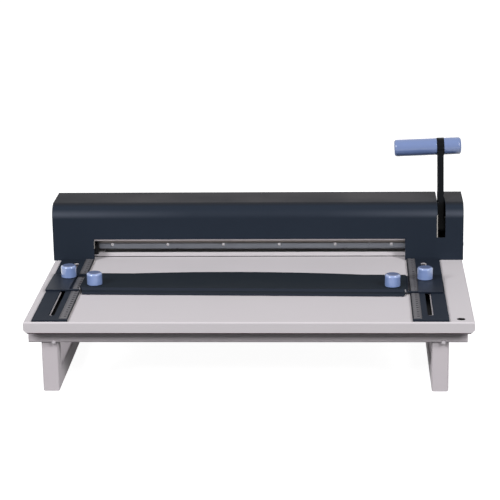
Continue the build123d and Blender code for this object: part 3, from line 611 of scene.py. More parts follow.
@dataclass(frozen=True)
class Palette:
    """Every finish on the machine, named for the pieces that wear it."""

    table: Coat = Coat("table_coat", tone(206, 201, 205), tone(225, 222, 224), 0.6, 0.12)
    stand: Coat = Coat("stand_coat", tone(203, 196, 201), tone(220, 217, 219), 0.6, 0.12)
    guide: Coat = Coat("guide_coat", tone(32, 38, 48), tone(92, 96, 104), 0.6, 0.045, spread=0.3)
    cover: Coat = Coat(
        "cover_coat",
        tone(38, 45, 56),
        tone(82, 88, 98),
        0.55,
        0.045,
        spread=0.15,
        # Painted shade on the cover's level top.
        top=tone(36, 38, 43),
        # Painted highlight along the cover's fold.
        band=FoldBand(tone(72, 77, 88), 0.1845, 8.0 * MM, 0.120, 0.10, 0.32),
    )
    stop: Coat = Coat(
        "stop_coat",
        tone(38, 43, 53),
        tone(84, 90, 98),
        0.6,
        0.06,
        spread=0.2,
        # Painted shade on the plate's level top.
        top=tone(25, 31, 38),
    )
    carriage: Coat = Coat(
        "carriage_coat", tone(30, 36, 47), tone(84, 88, 94), 0.36, 0.07, spread=0.2
    )
    bed: Coat = Coat("bed_coat", tone(199, 195, 198), tone(220, 218, 220), 0.55, 0.15)
    side_frame: Coat = Coat("side_frame_coat", tone(46, 49, 55), tone(100, 102, 106), 0.6, 0.15)
    track: Coat = Coat("track_coat", tone(18, 19, 22), tone(60, 62, 66), 0.6, 0.1)
    lay: Coat = Coat("side_lay_coat", tone(24, 25, 28), tone(80, 80, 82), 0.5, 0.2)
    lever: Coat = Coat("lever_coat", tone(8, 11, 15), tone(64, 70, 78), 0.34, 0.1)
    rule: Coat = Coat("rule_coat", tone(98, 97, 101), tone(170, 170, 172), 0.5, 0.2, spread=0.15)
    bar: Steel = Steel("bar_steel", tone(142, 147, 154), Run.ALONG_X, 0.34)
    step: Steel = Steel("step_steel", tone(150, 142, 138), Run.ALONG_X, 0.36)
    lip: Coat = Coat("lip_paint", tone(190, 183, 186), tone(210, 206, 208), 0.5, 0.2)
    # Painted shade: the dark strip at the foot of the bed.
    seam: Coat = Coat("seam_black", tone(30, 32, 34), tone(60, 62, 64), 0.7, 0.05)
    # Painted shade: the dark strip under the table's lip.
    hem: Coat = Coat("hem_shade", tone(66, 46, 56), tone(80, 64, 72), 0.7, 0.05)
    tack: Coat = Coat("tack_coat", tone(212, 207, 212), tone(228, 226, 228), 0.35, 0.3)
    # Pale colour of the strips along the guides' inner edges and the left edges of the slot and
    # mouth.
    cut_edge: Coat = Coat("cut_edge", tone(168, 164, 160), tone(190, 188, 182), 0.5, 0.2)
    die: Coat = Coat("die_black", tone(28, 29, 33), tone(90, 92, 96), 0.45, 0.2)
    blade: Steel = Steel("blade_steel", tone(150, 152, 158), Run.ALONG_X, 0.3)
    bright: Steel = Steel("bright_steel", tone(196, 197, 200), Run.ALONG_X, 0.24)
    post: Steel = Steel("post_steel", tone(196, 197, 200), Run.ALONG_Z, 0.22)
    cam: Steel = Steel("cam_steel", tone(160, 160, 164), Run.ALL_ROUND, 0.3)
    spring: Steel = Steel("spring_steel", tone(120, 120, 124), Run.ALL_ROUND, 0.3)
    zinc: Steel = Steel("zinc_plate", tone(186, 187, 184), Run.ALL_ROUND, 0.4, lines=400.0)
    screw: Steel = Steel("bright_screw", tone(226, 226, 228), Run.ALL_ROUND, 0.18)
    dark_screw: Steel = Steel("dark_screw", tone(60, 60, 64), Run.ALL_ROUND, 0.34)
    bronze: Steel = Steel("bush_bronze", tone(186, 148, 96), Run.ALL_ROUND, 0.38, lines=900.0)
    knob: Moulded = Moulded(
        # The last colour is painted shade on the knobs' level tops.
        "knob_blue", tone(134, 156, 206), 0.1, 0.8, tone(116, 130, 170), lacquer=1.0
    )
    grip: Moulded = Moulded("grip_blue", tone(106, 127, 176), 0.16, 0.6, lacquer=0.6)
    plug: Moulded = Moulded("plug_black", tone(8, 4, 7), 0.7, 0.03)
    mark: Moulded = Moulded("rule_mark", tone(20, 18, 22), 0.6, 0.1)


class Dresser:
    """Puts finishes on solids and on new pieces, making each material once."""

    def __init__(self, nodes: dict[str, bpy.types.Object]) -> None:
        """Keeps the solids.

        Args:
            nodes: The solids by name.
        """
        self.nodes = nodes
        self.made: dict[str, Material] = {}

    def material(self, finish: Finish) -> Material:
        """Returns the material of a finish, made the first time it is asked for.

        Args:
            finish: The finish.

        Returns:
            Its material.
        """
        if finish.name not in self.made:
            self.made[finish.name] = finish.make()
        return self.made[finish.name]

    def dress(self, finish: Finish, *names: str) -> None:
        """Puts a finish on solids.

        Args:
            finish: The finish.
            names: The solids' names.
        """
        for name in names:
            materials = self.nodes[name].data.materials
            materials.clear()
            materials.append(self.material(finish))
            LOG.info("%s wears %s", name, finish.name)


# ---------------------------------------------------------------- repeated pieces


class TreeMaker(Sheet):
    """A geometry tree with named inputs that ends in real geometry and one material."""

    def __init__(self, name: str, inputs: dict[str, str]) -> None:
        """Starts the tree.

        Args:
            name: The tree's name.
            inputs: Socket type by input name.
        """
        super().__init__(bpy.data.node_groups.new(name, "GeometryNodeTree"))
        new_socket = self.tree.interface.new_socket
        kinds = {"Geometry": "NodeSocketGeometry", **inputs, "Material": "NodeSocketMaterial"}
        for label, kind in kinds.items():
            new_socket(name=label, in_out="INPUT", socket_type=kind)
        new_socket(name="Geometry", in_out="OUTPUT", socket_type="NodeSocketGeometry")
        self.given = self.add("NodeGroupInput").outputs

    def close(self, instances: Socket) -> Tree:
        """Realizes the instances, sets the material and ends the tree.

        Args:
            instances: The instances to end with.

        Returns:
            The finished tree.
        """
        real = self.add("GeometryNodeRealizeInstances", {0: instances}).outputs[0]
        feeds = {"Geometry": real, "Material": self.given["Material"]}
        paint = self.add("GeometryNodeSetMaterial", feeds)
        self.add("NodeGroupOutput", {0: paint.outputs[0]})
        return self.tree


@cache
def mark_tree() -> Tree:
    """A row of flat marks along Y, as on a rule, built once.

    Returns:
        The tree, with the inputs Count, Start, Step and Size.
    """
    vectors = dict.fromkeys(("Start", "Step", "Size"), VECTOR)
    maker = TreeMaker("rule_marks", {"Count": "NodeSocketInt", **vectors})
    given = maker.given
    feeds = {"Count": given["Count"], "Start Location": given["Start"], "Offset": given["Step"]}
    row = maker.add("GeometryNodeMeshLine", feeds, mode="OFFSET").outputs["Mesh"]
    mark = maker.add("GeometryNodeMeshCube", {"Size": given["Size"]}).outputs["Mesh"]
    spread = maker.add("GeometryNodeInstanceOnPoints", {"Points": row, "Instance": mark})
    return maker.close(spread.outputs[0])


@cache
def fastener_tree() -> Tree:
    """One fastener repeated on the points of the mesh it is put on, built once.

    Returns:
        The tree, with the inputs Fastener and Turn.
    """
    inputs = {"Fastener": "NodeSocketObject", "Turn": "NodeSocketRotation"}
    maker = TreeMaker("fasteners_on_points", inputs)
    given = maker.given
    source = maker.add("GeometryNodeObjectInfo", {"Object": given["Fastener"]})
    feeds = {
        "Points": given["Geometry"],
        "Instance": source.outputs["Geometry"],
        "Rotation": given["Turn"],
    }
    return maker.close(maker.add("GeometryNodeInstanceOnPoints", feeds).outputs[0])


def new_piece(name: str, data: bpy.types.ID) -> bpy.types.Object:
    """Links a mesh, text, lamp or camera into the scene.

    Args:
        name: The object's name.
        data: The mesh, text, lamp or camera.

    Returns:
        The object, at the origin.
    """
    piece = bpy.data.objects.new(name, data)
    bpy.context.scene.collection.objects.link(piece)
    return piece


def plain_mesh(holder: bpy.types.Object) -> Mesh:
    """Keeps what an object shows as a plain mesh and drops the object.

    Args:
        holder: An object with a modifier, or a text.

    Returns:
        The plain mesh.
    """
    bpy.context.view_layer.update()
    graph = bpy.context.evaluated_depsgraph_get()
    mesh = bpy.data.meshes.new_from_object(holder.evaluated_get(graph))
    holder.modifiers.clear()
    bpy.data.objects.remove(holder)
    return mesh


def grow(name: str, points: Iterable[Point], tree: Tree, values: dict[str, object]) -> Mesh:
    """Runs a geometry tree on loose points and keeps the outcome as a plain mesh.

    Args:
        name: The new mesh's name.
        points: The points the tree starts from.
        tree: The geometry tree.
        values: Its inputs by name.

    Returns:
        The plain mesh.
    """
    seed = bpy.data.meshes.new(f"{name}_points")
    seed.from_pydata([tuple(point) for point in points], [], [])
    worker = new_piece(f"{name}_worker", seed)
    modifier = worker.modifiers.new("grow", "NODES")
    modifier.node_group = tree
    for item in tree.interface.items_tree:
        if item.in_out == "INPUT" and item.name in values:
            modifier[item.identifier] = values[item.name]
    mesh = plain_mesh(worker)
    mesh.name = name
    return mesh


def mesh_from(name: str, bm: bmesh.types.BMesh) -> Mesh:
    """Turns a built shape into a mesh and frees the shape.

    Args:
        name: The mesh's name.
        bm: The shape.

    Returns:
        The mesh.
    """
    mesh = bpy.data.meshes.new(name)
    bm.to_mesh(mesh)
    bm.free()
    return mesh


def joined(name: str, parts: Sequence[Mesh]) -> Mesh:
    """Joins meshes into one and drops the separate ones.

    Args:
        name: The new mesh's name.
        parts: The meshes.

    Returns:
        The joined mesh.
    """
    bm = bmesh.new()
    for part in parts:
        bm.from_mesh(part)
        bpy.data.meshes.remove(part)
    return mesh_from(name, bm)


def smoothed(mesh: Mesh) -> Mesh:
    """Shades every face of a mesh smooth.

    Args:
        mesh: The mesh.

    Returns:
        The same mesh.
    """
    for face in mesh.polygons:
        face.use_smooth = True
    return mesh


def lathe(profile: Sequence[tuple[float, float]], steps: int) -> bmesh.types.BMesh:
    """Turns a profile round Z into a closed shape.

    Args:
        profile: Radius and height of each ring, from the bottom up; the ends are on the axis.
        steps: Faces round the axis.

    Returns:
        The turned shape.
    """
    bm = bmesh.new()
    rings = []
    angles = [math.tau * k / steps for k in range(steps)]
    for radius, height in profile:
        ring = angles if radius else angles[:1]
        rings.append(
            [bm.verts.new((radius * math.cos(a), radius * math.sin(a), height)) for a in ring]
        )
    for low, high in zip(rings, rings[1:]):
        for k in range(steps):
            following = (k + 1) % steps
            corners = [low[k % len(low)], low[following % len(low)]]
            corners += [high[following % len(high)], high[k % len(high)]]
            unique = list(dict.fromkeys(corners))
            if len(unique) > 2:
                bm.faces.new(unique)
    bmesh.ops.recalc_face_normals(bm, faces=bm.faces)
    return bm


@dataclass
class SocketScrew:
    """A screw head with a hexagon socket, made pointing along +Z with its seat at 0."""

    radius: float
    height: float
    socket: float
    depth: float
    round_over: float
    sides: int = 6
    mouth_flare: float = 1.06
    mouth_drop: float = 0.08 * MM
    round_share: float = 0.3
    floor_cone: float = 1.15
    slack: float = 1.01

    def mesh(self, name: str) -> Mesh:
        """Builds the head.

        Args:
            name: The mesh's name.

        Returns:
            The head's mesh.
        """
        r, h, over = self.radius, self.height, self.round_over
        cut = over * self.round_share
        profile = [(0, 0), (r, 0), (r, h - over), (r - cut, h - cut), (r - over, h)]
        profile += [(self.socket * self.mouth_flare, h), (self.socket, h - self.mouth_drop)]
        profile += [(self.socket, h - self.depth), (0, h - self.depth * self.floor_cone)]
        bm = lathe(profile, 4 * self.sides)
        half = math.pi / self.sides
        for vert in bm.verts:
            reach = math.hypot(vert.co.x, vert.co.y)
            if 0 < reach <= self.socket * self.slack and vert.co.z > 0:
                turn = math.atan2(vert.co.y, vert.co.x) % (2 * half) - half
                share = math.cos(half) / math.cos(turn)
                vert.co.x *= share
                vert.co.y *= share
        return mesh_from(name, bm)


def repeat_fastener(
    name: str, head: Mesh, places: Sequence[Point], turn: Euler, material: Material
) -> bpy.types.Object:
    """Repeats one head at several places.

    Args:
        name: The new piece's name.
        head: The head's mesh.
        places: Where its seat is.
        turn: How it is turned from +Z.
        material: Its finish.

    Returns:
        The piece.
    """
    pattern = new_piece(f"{name}_pattern", head)
    values = {"Fastener": pattern, "Turn": tuple(turn), "Material": material}
    mesh = grow(name, places, fastener_tree(), values)
    bpy.data.objects.remove(pattern)
    return new_piece(name, mesh)


def block_mesh(name: str, low: Vector, high: Vector) -> Mesh:
    """Makes a straight block between two corners.

    Args:
        name: The mesh's name.
        low: Its lowest corner.
        high: Its highest corner.

    Returns:
        The block's mesh.
    """
    bm = bmesh.new()
    bmesh.ops.create_cube(bm, size=1.0)
    bm.transform(Matrix.Translation((low + high) / 2) @ Matrix.Diagonal((*(high - low), 1.0)))
    return mesh_from(name, bm)


@dataclass(frozen=True)
class Strip:
    """A thin straight strip between two corners."""

    name: str
    low: Point
    high: Point

    def build(self, material: Material, body: str, slot: str) -> None:
        """Builds the strip and lets it ride its body.

        Args:
            material: Its finish.
            body: The body that carries it.
            slot: Not used.
        """
        mesh = block_mesh(self.name, Vector(self.low), Vector(self.high))
        piece = new_piece(self.name, mesh)
        mesh.materials.append(material)
        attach(piece, body)
        LOG.info("%s built", self.name)


# ---------------------------------------------------------------- sub-assemblies


@dataclass
class Assembly:
    """What every sub-assembly needs to finish its solids and its own pieces."""

    dresser: Dresser
    palette: Palette


@dataclass
class Stand(Assembly):
    """The folded table, its crossbars, the two legs and their welds."""

    tack_radius: float = 3.1 * MM
    tack_height: float = 2.8 * MM
    tack_insets: tuple[float, float] = (5.4 * MM, 8.0 * MM)
    tack_sink: float = 0.6 * MM
    tack_shoulder: tuple[float, float] = (0.8, 0.6)
    tack_steps: int = 20
    # Size and place of the dark strip of painted shade under the table's lip.
    hem_height: float = 1.3 * MM
    hem_thick: float = 1.0 * MM
    hem_inset: float = 0.3 * MM
    hem_short: float = 5.0 * MM

    def dress(self) -> None:
        """Finishes the solids of the stand."""
        self.dresser.dress(self.palette.table, "table_top")
        self.dresser.dress(
            self.palette.stand, "front_crossbar", "rear_crossbar", "left_leg", "right_leg"
        )
        self.dresser.dress(self.palette.plug, "hole_plug")
        self.dresser.dress(self.palette.zinc, "stand_screws")

    def build(self) -> None:
        """Adds the painted shade strip under the table's lip and the weld tacks of the legs."""
        self.lip_hem()
        self.weld_tacks()

    def lip_hem(self) -> None:
        """Adds a dark strip under the table's front lip, painted shade for the shadow below the
        lip.
        """
        low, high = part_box("table_top")
        back = low.y + self.hem_inset + self.hem_thick
        strip = Strip(
            "lip_hem",
            (low.x + self.hem_short, low.y + self.hem_inset, low.z - self.hem_height),
            (high.x - self.hem_short, back, low.z + self.hem_inset),
        )
        strip.build(self.dresser.material(self.palette.hem), "frame", "table_paint")

    def weld_tacks(self) -> None:
        """Adds the weld tacks where the front crossbar stands on the legs."""
        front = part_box("front_crossbar")[0].y
        wide, tall = self.tack_radius, self.tack_height
        wide_share, tall_share = self.tack_shoulder
        profile = [(0, -self.tack_sink), (wide, -self.tack_sink), (wide, 0)]
        profile += [(wide * wide_share, tall * tall_share), (0, tall)]
        tacks = []
        for leg, inset in zip(("left_leg", "right_leg"), self.tack_insets):
            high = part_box(leg)[1]
            bm = lathe(profile, self.tack_steps)
            place = Matrix.Translation((high.x - inset, front, high.z))
            bm.transform(place @ Matrix.Rotation(QUARTER, 4, "X"))
            tacks.append(mesh_from(f"{leg}_tack", bm))
        piece = new_piece("weld_tacks", smoothed(joined("weld_tacks", tacks)))
        piece.data.materials.append(self.dresser.material(self.palette.tack))
        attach(piece, "frame")
        LOG.info("weld_tacks built")


@dataclass(frozen=True)
class MarkRow:
    """One row of equal marks along an edge of a rule, one every so many steps."""

    every: int
    length: float
    width: float
    inner: bool = True


@dataclass
class Rules(Assembly):
    """The two guides with their steel rules, marks and numerals."""

    crease_y: float = 0.135
    step: float = 1.0 * MM
    thickness: float = 0.04 * MM
    numeral_height: float = 4.0 * MM
    numeral_place: float = 0.63
    numeral_bold: float = 0.30 * MM
    numeral_steps: int = 2
    numeral_every: int = 10
    edge_skin: float = 0.06 * MM
    edge_rise: float = 0.2
    edge_line: tuple[float, float] = (0.25 * MM, 0.85 * MM)
    rows: tuple[MarkRow, ...] = (
        MarkRow(1, 1.2 * MM, 0.42 * MM),
        MarkRow(5, 1.6 * MM, 0.55 * MM),
        MarkRow(10, 2.8 * MM, 0.90 * MM),
        MarkRow(1, 2.0 * MM, 0.18 * MM, inner=False),
        MarkRow(5, 3.4 * MM, 0.45 * MM, inner=False),
    )

    def dress(self) -> None:
        """Finishes the solids of the guides."""
        self.dresser.dress(self.palette.guide, "left_guide_plate", "right_guide_plate")
        self.dresser.dress(self.palette.rule, "left_ruler", "right_ruler")
        self.dresser.dress(self.palette.zinc, "guide_screws")
        self.dresser.dress(self.palette.track, "left_nut_track", "right_nut_track")

    def build(self) -> None:
        """Engraves both rules and lays a pale skin on the inner edges of the guides."""
        for node, side in (("left_ruler", 1), ("right_ruler", -1)):
            low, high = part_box(node)
            first, last = ((self.crease_y - y) / self.step for y in (high.y, low.y))
            span = (math.ceil(first), math.floor(last))
            meshes = [self.marks(node, row, side, span) for row in self.rows]
            meshes += [self.numerals(node, span), self.ruled_line(low, high, side)]
            piece = new_piece(f"{node}_marks", joined(f"{node}_marks", meshes))
            piece.data.materials.append(self.dresser.material(self.palette.mark))
            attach(piece, "frame")
            LOG.info("%s built", piece.name)
            self.bare_edge(node.replace("ruler", "guide_plate"), side)

    def ruled_line(self, low: Vector, high: Vector, side: int) -> Mesh:
        """Draws the thin line along the inner edge of a rule.

        Args:
            low: The rule's lowest corner.
            high: Its highest corner.
            side: 1 where the rule's inner edge is its right one, -1 where it is its left one.

        Returns:
            The line's mesh.
        """
        edge = high.x if side > 0 else low.x
        reach = sorted(edge - side * inset for inset in self.edge_line)
        level = self.thickness / 2
        foot = Vector((reach[0], low.y, high.z - level))
        return block_mesh("ruled_line", foot, Vector((reach[1], high.y, high.z + level)))

    def bare_edge(self, plate: str, side: int) -> None:
        """Lays a pale skin on the edge of a guide that faces the machine's middle.

        Args:
            plate: The guide plate.
            side: 1 where the edge looks to the right, -1 where it looks to the left.
        """
        low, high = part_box(plate)
        x = high.x if side > 0 else low.x
        reach = sorted(x + side * share * self.edge_skin for share in (self.edge_rise, 1.0))
        foot, top = low.z + self.edge_skin, high.z - self.edge_skin
        skin = Strip(f"{plate}_edge", (reach[0], low.y, foot), (reach[1], high.y, top))
        skin.build(self.dresser.material(self.palette.cut_edge), "frame", "rule_steel")

    def marks(self, node: str, row: MarkRow, side: int, span: tuple[int, int]) -> Mesh:
        """Lays one row of marks.

        Args:
            node: The rule.
            row: The row's pitch, sizes and edge.
            side: 1 where the rule's inner edge is its right one, -1 where it is its left one.
            span: The lowest and highest millimetre on the rule.

        Returns:
            The marks' mesh.
        """
        low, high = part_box(node)
        start = math.ceil(span[0] / row.every) * row.every
        count = (span[1] - start) // row.every + 1
        at_right = (side > 0) == row.inner
        x = high.x - row.length / 2 if at_right else low.x + row.length / 2
        values = {
            "Count": count,
            "Start": (x, self.crease_y - start * self.step, high.z),
            "Step": (0.0, -row.every * self.step, 0.0),
            "Size": (row.length, row.width, self.thickness),
            "Material": self.dresser.material(self.palette.mark),
        }
        name = f"{node}_{'inner' if row.inner else 'outer'}_{row.every}"
        return grow(name, [], mark_tree(), values)

    def numerals(self, node: str, span: tuple[int, int]) -> Mesh:
        """Stamps the centimetre numbers beside the long marks.

        Args:
            node: The rule.
            span: The lowest and highest millimetre on the rule.

        Returns:
            The numerals' mesh.
        """
        low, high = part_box(node)
        x = low.x + (high.x - low.x) * self.numeral_place
        every = self.numeral_every
        parts = []
        for centimetre in range(math.ceil(span[0] / every), span[1] // every + 1):
            text = bpy.data.curves.new(f"{node}_number", "FONT")
            text.body = str(centimetre)
            text.size = self.numeral_height
            text.align_x = "CENTER"
            text.align_y = "CENTER"
            text.extrude = self.thickness / 2
            text.offset = self.numeral_bold
            text.resolution_u = self.numeral_steps
            mesh = plain_mesh(new_piece(f"{node}_number", text))
            y = self.crease_y - centimetre * every * self.step
            mesh.transform(Matrix.Translation((x, y, high.z)) @ Matrix.Rotation(QUARTER, 4, "Z"))
            parts.append(mesh)
        return joined(f"{node}_numbers", parts)


@dataclass
class Cover(Assembly):
    """The folded cover with its brackets, cheek screws and mouth lip."""

    sheet: float = 1.5 * MM
    mouth_left: float = -256.9 * MM
    mouth_right: float = 231.0 * MM
    mouth_top: float = 34.6 * MM
    lip_setback: float = 0.1 * MM
    lip_thick: float = 0.6 * MM
    lip_overlap: float = 2.4 * MM
    lip_drop: float = 2.6 * MM
    slot_left: float = 280.8 * MM
    slot_foot: float = 36.1 * MM
    slot_edge_top: float = 72.5 * MM
    mouth_edge_foot: float = 19.5 * MM
    edge_wide: float = 0.7 * MM
    skin: float = 0.12 * MM
    skin_rise: float = 0.25
    screw_share: float = 0.065
    head: SocketScrew = field(
        default_factory=lambda: SocketScrew(3.6 * MM, 2.0 * MM, 1.5 * MM, 1.2 * MM, 0.9 * MM)
    )

    def dress(self) -> None:
        """Finishes the cover's solids."""
        self.dresser.dress(self.palette.cover, "cover")
        self.dresser.dress(self.palette.zinc, "left_cover_bracket", "right_cover_bracket")
        self.dresser.dress(self.palette.dark_screw, "cover_screws")

    def build(self) -> None:
        """Adds the lip in the mouth, the pale edge strips and the heads of the cheek screws."""
        self.mouth_lip()
        self.cut_edges()
        self.cheek_screws()

    def mouth_lip(self) -> None:
        """Adds the pale lip inside the mouth."""
        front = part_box("cover")[0].y + self.sheet + self.lip_setback
        mouth_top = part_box("table_top")[1].z + self.mouth_top
        lip = Strip(
            "mouth_lip",
            (self.mouth_left, front, mouth_top - self.lip_drop),
            (self.mouth_right, front + self.lip_thick, mouth_top + self.lip_overlap),
        )
        lip.build(self.dresser.material(self.palette.lip), "frame", "bed_paint")

    def cheek_screws(self) -> None:
        """Puts a button head on each cheek screw."""
        low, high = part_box("cover_screws")
        inset = (high.y - low.y) * self.screw_share
        z = (low.z + high.z) / 2
        dark = self.dresser.material(self.palette.dark_screw)
        for side, x in ((-1, low.x), (1, high.x)):
            name = f"{'left' if side < 0 else 'right'}_cheek_screw_heads"
            places = [(x, y, z) for y in (low.y + inset, high.y - inset)]
            head = self.head.mesh(f"{name}_head")
            piece = repeat_fastener(name, head, places, Euler((0, side * QUARTER, 0)), dark)
            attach(piece, "frame")
            LOG.info("%s built", name)

    def cut_edges(self) -> None:
        """Lays a pale strip along the left edge of the lever slot and of the mouth."""
        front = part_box("cover")[0].y
        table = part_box("table_top")[1].z
        near = self.skin * self.skin_rise
        slot_edge = Strip(
            "slot_edge",
            (self.slot_left - self.edge_wide, front - self.skin, table + self.slot_foot),
            (self.slot_left + self.edge_wide, front - near, table + self.slot_edge_top),
        )
        mouth_edge = Strip(
            "mouth_edge",
            (self.mouth_left + self.skin, front + self.skin, table + self.mouth_edge_foot),
            (
                self.mouth_left + self.edge_wide,
                front + self.sheet - self.skin,
                table + self.mouth_top - self.lip_drop - self.skin,
            ),
        )
        for strip in (slot_edge, mouth_edge):
            strip.build(self.dresser.material(self.palette.cut_edge), "frame", "cover_paint")


@dataclass
class Press(Assembly):
    """The bed, beam, clamp bar, side frames and everything that presses."""

    screws: int = 6
    head: SocketScrew = field(
        default_factory=lambda: SocketScrew(2.7 * MM, 2.2 * MM, 1.25 * MM, 1.3 * MM, 0.5 * MM)
    )
    shank_radius: float = 1.5 * MM
    shank_steps: int = 12
    clear: float = 0.02 * MM
    step_lag: float = 5.2 * MM
    step_thick: float = 1.6 * MM
    step_height: float = 6.6 * MM
    # Size of the dark strip of painted shade at the bed's foot.
    seam_height: float = 1.2 * MM
    seam_thick: float = 0.15 * MM
    beam_travel: float = 5.4 * MM

    def dress(self) -> None:
        """Finishes the solids of the press."""
        dress, finishes = self.dresser.dress, self.palette
        dress(finishes.bed, "bed_plate")
        dress(finishes.die, "die_strip")
        dress(finishes.blade, "creasing_blade")
        dress(finishes.bar, "creasing_beam", "clamp_bar")
        dress(finishes.screw, "clamp_screws")
        dress(finishes.side_frame, "left_side_frame", "right_side_frame")
        dress(finishes.bright, "tie_bar")
        dress(finishes.zinc, "frame_bolts", "tie_screws")
        dress(finishes.post, "left_guide_post", "right_guide_post")
        dress(finishes.spring, "left_return_spring", "right_return_spring")
        dress(finishes.lay, "left_side_lay", "right_side_lay")
        dress(finishes.bronze, "left_bush", "right_bush")

    def build(self) -> None:
        """Adds the socket screws, the step over the bar, the painted shade line at the bed's foot
        and the springs.
        """
        self.socket_screws()
        self.beam_step()
        self.bed_seam()
        self.springs()

    def socket_screws(self) -> None:
        """Replaces the plain screws of the clamp bar by socket screws."""
        low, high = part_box("clamp_screws")
        radius = self.head.radius
        first, last = low.x + radius, high.x - radius
        z = (low.z + high.z) / 2
        seat = low.y + self.head.height
        step = (last - first) / (self.screws - 1)
        screw = self.head.mesh("clamp_screw_head")
        end, wide = seat - high.y, self.shank_radius
        shank = lathe([(0, end), (wide, end), (wide, 0), (0, 0)], self.shank_steps)
        shank.from_mesh(screw)
        shank.to_mesh(screw)
        shank.free()
        piece = repeat_fastener(
            "clamp_socket_screws",
            screw,
            [(first + k * step, seat, z) for k in range(self.screws)],
            Euler((QUARTER, 0, 0)),
            self.dresser.material(self.palette.screw),
        )
        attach(piece, "beam")
        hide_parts("clamp_screws")
        LOG.info("clamp_socket_screws built")

    def beam_step(self) -> None:
        """Adds the thin upper step that is seen over the clamp bar."""
        low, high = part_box("clamp_bar")
        front = low.y + self.step_lag
        strip = Strip(
            "beam_step",
            (low.x, front, high.z + self.clear),
            (high.x, front + self.step_thick, high.z + self.step_height),
        )
        strip.build(self.dresser.material(self.palette.step), "beam", "beam_steel")

    def springs(self) -> None:
        """Puts a copy of each return spring on the frame and hides the solid."""
        for name in ("left_return_spring", "right_return_spring"):
            mesh = self.dresser.nodes[name].data.copy()
            mesh.name = f"{name}_coil"
            piece = new_piece(mesh.name, mesh)
            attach(piece, "frame")
            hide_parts(name)
            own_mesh(piece)
            LOG.info("%s built", piece.name)

    def bed_seam(self) -> None:
        """Adds a dark strip along the foot of the bed's front, painted shade for the gap under it.
        """
        low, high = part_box("bed_plate")
        strip = Strip(
            "bed_seam",
            (low.x, low.y - self.seam_thick, low.z + self.clear),
            (high.x, low.y - self.clear, low.z + self.seam_height),
        )
        strip.build(self.dresser.material(self.palette.seam), "frame", "track_black")


@dataclass
class Lever(Assembly):
    """The lever with its shaft, cams and grip."""

    grip_radius: float = 13.5 * MM
    grip_round: float = 4.6 * MM
    grip_chamfer: float = 0.5 * MM
    grip_slack: float = 0.3 * MM
    grip_steps: int = 72
    round_steps: int = 8
    sharp_angle: float = 40.0

    def dress(self) -> None:
        """Finishes the lever's solids."""
        self.dresser.dress(self.palette.lever, "lever_plate")
        self.dresser.dress(self.palette.bright, "lever_shaft", "lever_pin", "grip_rod")
        self.dresser.dress(self.palette.cam, "left_cam", "right_cam")
        self.dresser.dress(self.palette.grip, "long_grip", "short_grip")

    def build(self) -> None:
        """Replaces both parts of the grip by turned ones with fuller outer ends."""
        names = ("long_grip", "short_grip")
        boxes = [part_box(name) for name in names]
        centres = [(low + high) / 2 for low, high in boxes]
        axis = (centres[1] - centres[0]).normalized()
        for name, (low, high), centre, side in zip(names, boxes, centres, (-1, 1)):
            length = high.x - low.x - 2 * self.grip_slack
            outward = side * axis
            bm = lathe(self.grip_profile(length), self.grip_steps)
            turn = outward.to_track_quat("Z", "Y").to_matrix().to_4x4()
            bm.transform(Matrix.Translation(centre - outward * length / 2) @ turn)
            mesh = smoothed(mesh_from(f"{name}_sleeve", bm))
            mesh.set_sharp_from_angle(angle=math.radians(self.sharp_angle))
            piece = new_piece(mesh.name, mesh)
            mesh.materials.append(self.dresser.material(self.palette.grip))
            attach(piece, "lever")
            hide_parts(name)
            LOG.info("%s built", piece.name)

    def grip_profile(self, length: float) -> list[tuple[float, float]]:
        """Returns the radius and height of each ring of a grip part.

        Args:
            length: The part's length.

        Returns:
            The rings, from the end at the lever to the outer end.
        """
        radius, over, small = self.grip_radius, self.grip_round, self.grip_chamfer
        profile = [(0.0, 0.0), (radius - small, 0.0), (radius, small)]
        for step in range(self.round_steps + 1):
            angle = QUARTER * step / self.round_steps
            ring = radius - over + over * math.cos(angle)
            profile.append((ring, length - over + over * math.sin(angle)))
        return [*profile, (0.0, length)]


@dataclass
class Stop(Assembly):
    """The stop plate, its carriages, clamp knobs, studs and nuts."""

    places: tuple[str, ...] = ("left_outer", "left_inner", "right_inner", "right_outer")
    tab_places: tuple[tuple[float, float], ...] = (
        (-257.4 * MM, -61.1 * MM),
        (226.2 * MM, -72.3 * MM),
    )
    tab_size: Point = (2.0 * MM, 3.0 * MM, 3.3 * MM)
    tab_sink: float = 0.3 * MM

    def dress(self) -> None:
        """Finishes the solids of the stop."""
        self.dresser.dress(self.palette.stop, "stop_plate")
        self.dresser.dress(self.palette.carriage, "left_carriage", "right_carriage")
        self.dresser.dress(self.palette.zinc, "left_clamp_nut", "right_clamp_nut")
        self.dresser.dress(self.palette.knob, *(f"{place}_knob" for place in self.places))
        self.dresser.dress(self.palette.post, *(f"{place}_stud" for place in self.places))

    def build(self) -> None:
        """Adds the bare metal tabs at both ends of the plate's upper step."""
        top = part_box("stop_plate")[1].z
        bare = self.dresser.material(self.palette.bright)
        for name, (x, y) in zip(("left_stop_tab", "right_stop_tab"), self.tab_places):
            wide, deep, high = self.tab_size
            low = (x - wide / 2, y - deep / 2, top - high - self.tab_sink)
            far = (x + wide / 2, y + deep / 2, top - self.tab_sink)
            Strip(name, low, far).build(bare, "stop", "bright_steel")


# ---------------------------------------------------------------- studio


@dataclass(frozen=True)
class Softbox:
    """A rectangular lamp that faces a point of the machine."""

    name: str
    place: Point
    power: float
    width: float
    height: float
    tint: Colour = (1.0, 1.0, 1.0)
    target: Point = (0.0, 0.0, 0.12)

    def hang(self) -> None:
        """Hangs the lamp."""
        panel = bpy.data.lights.new(self.name, "AREA")
        panel.energy = self.power
        panel.color = self.tint
        panel.shape = "RECTANGLE"
        panel.size = self.width
        panel.size_y = self.height
        lamp = new_piece(self.name, panel)
        lamp.location = self.place
        away = Vector(self.place) - Vector(self.target)
        lamp.rotation_euler = away.to_track_quat("Z", "Y").to_euler()


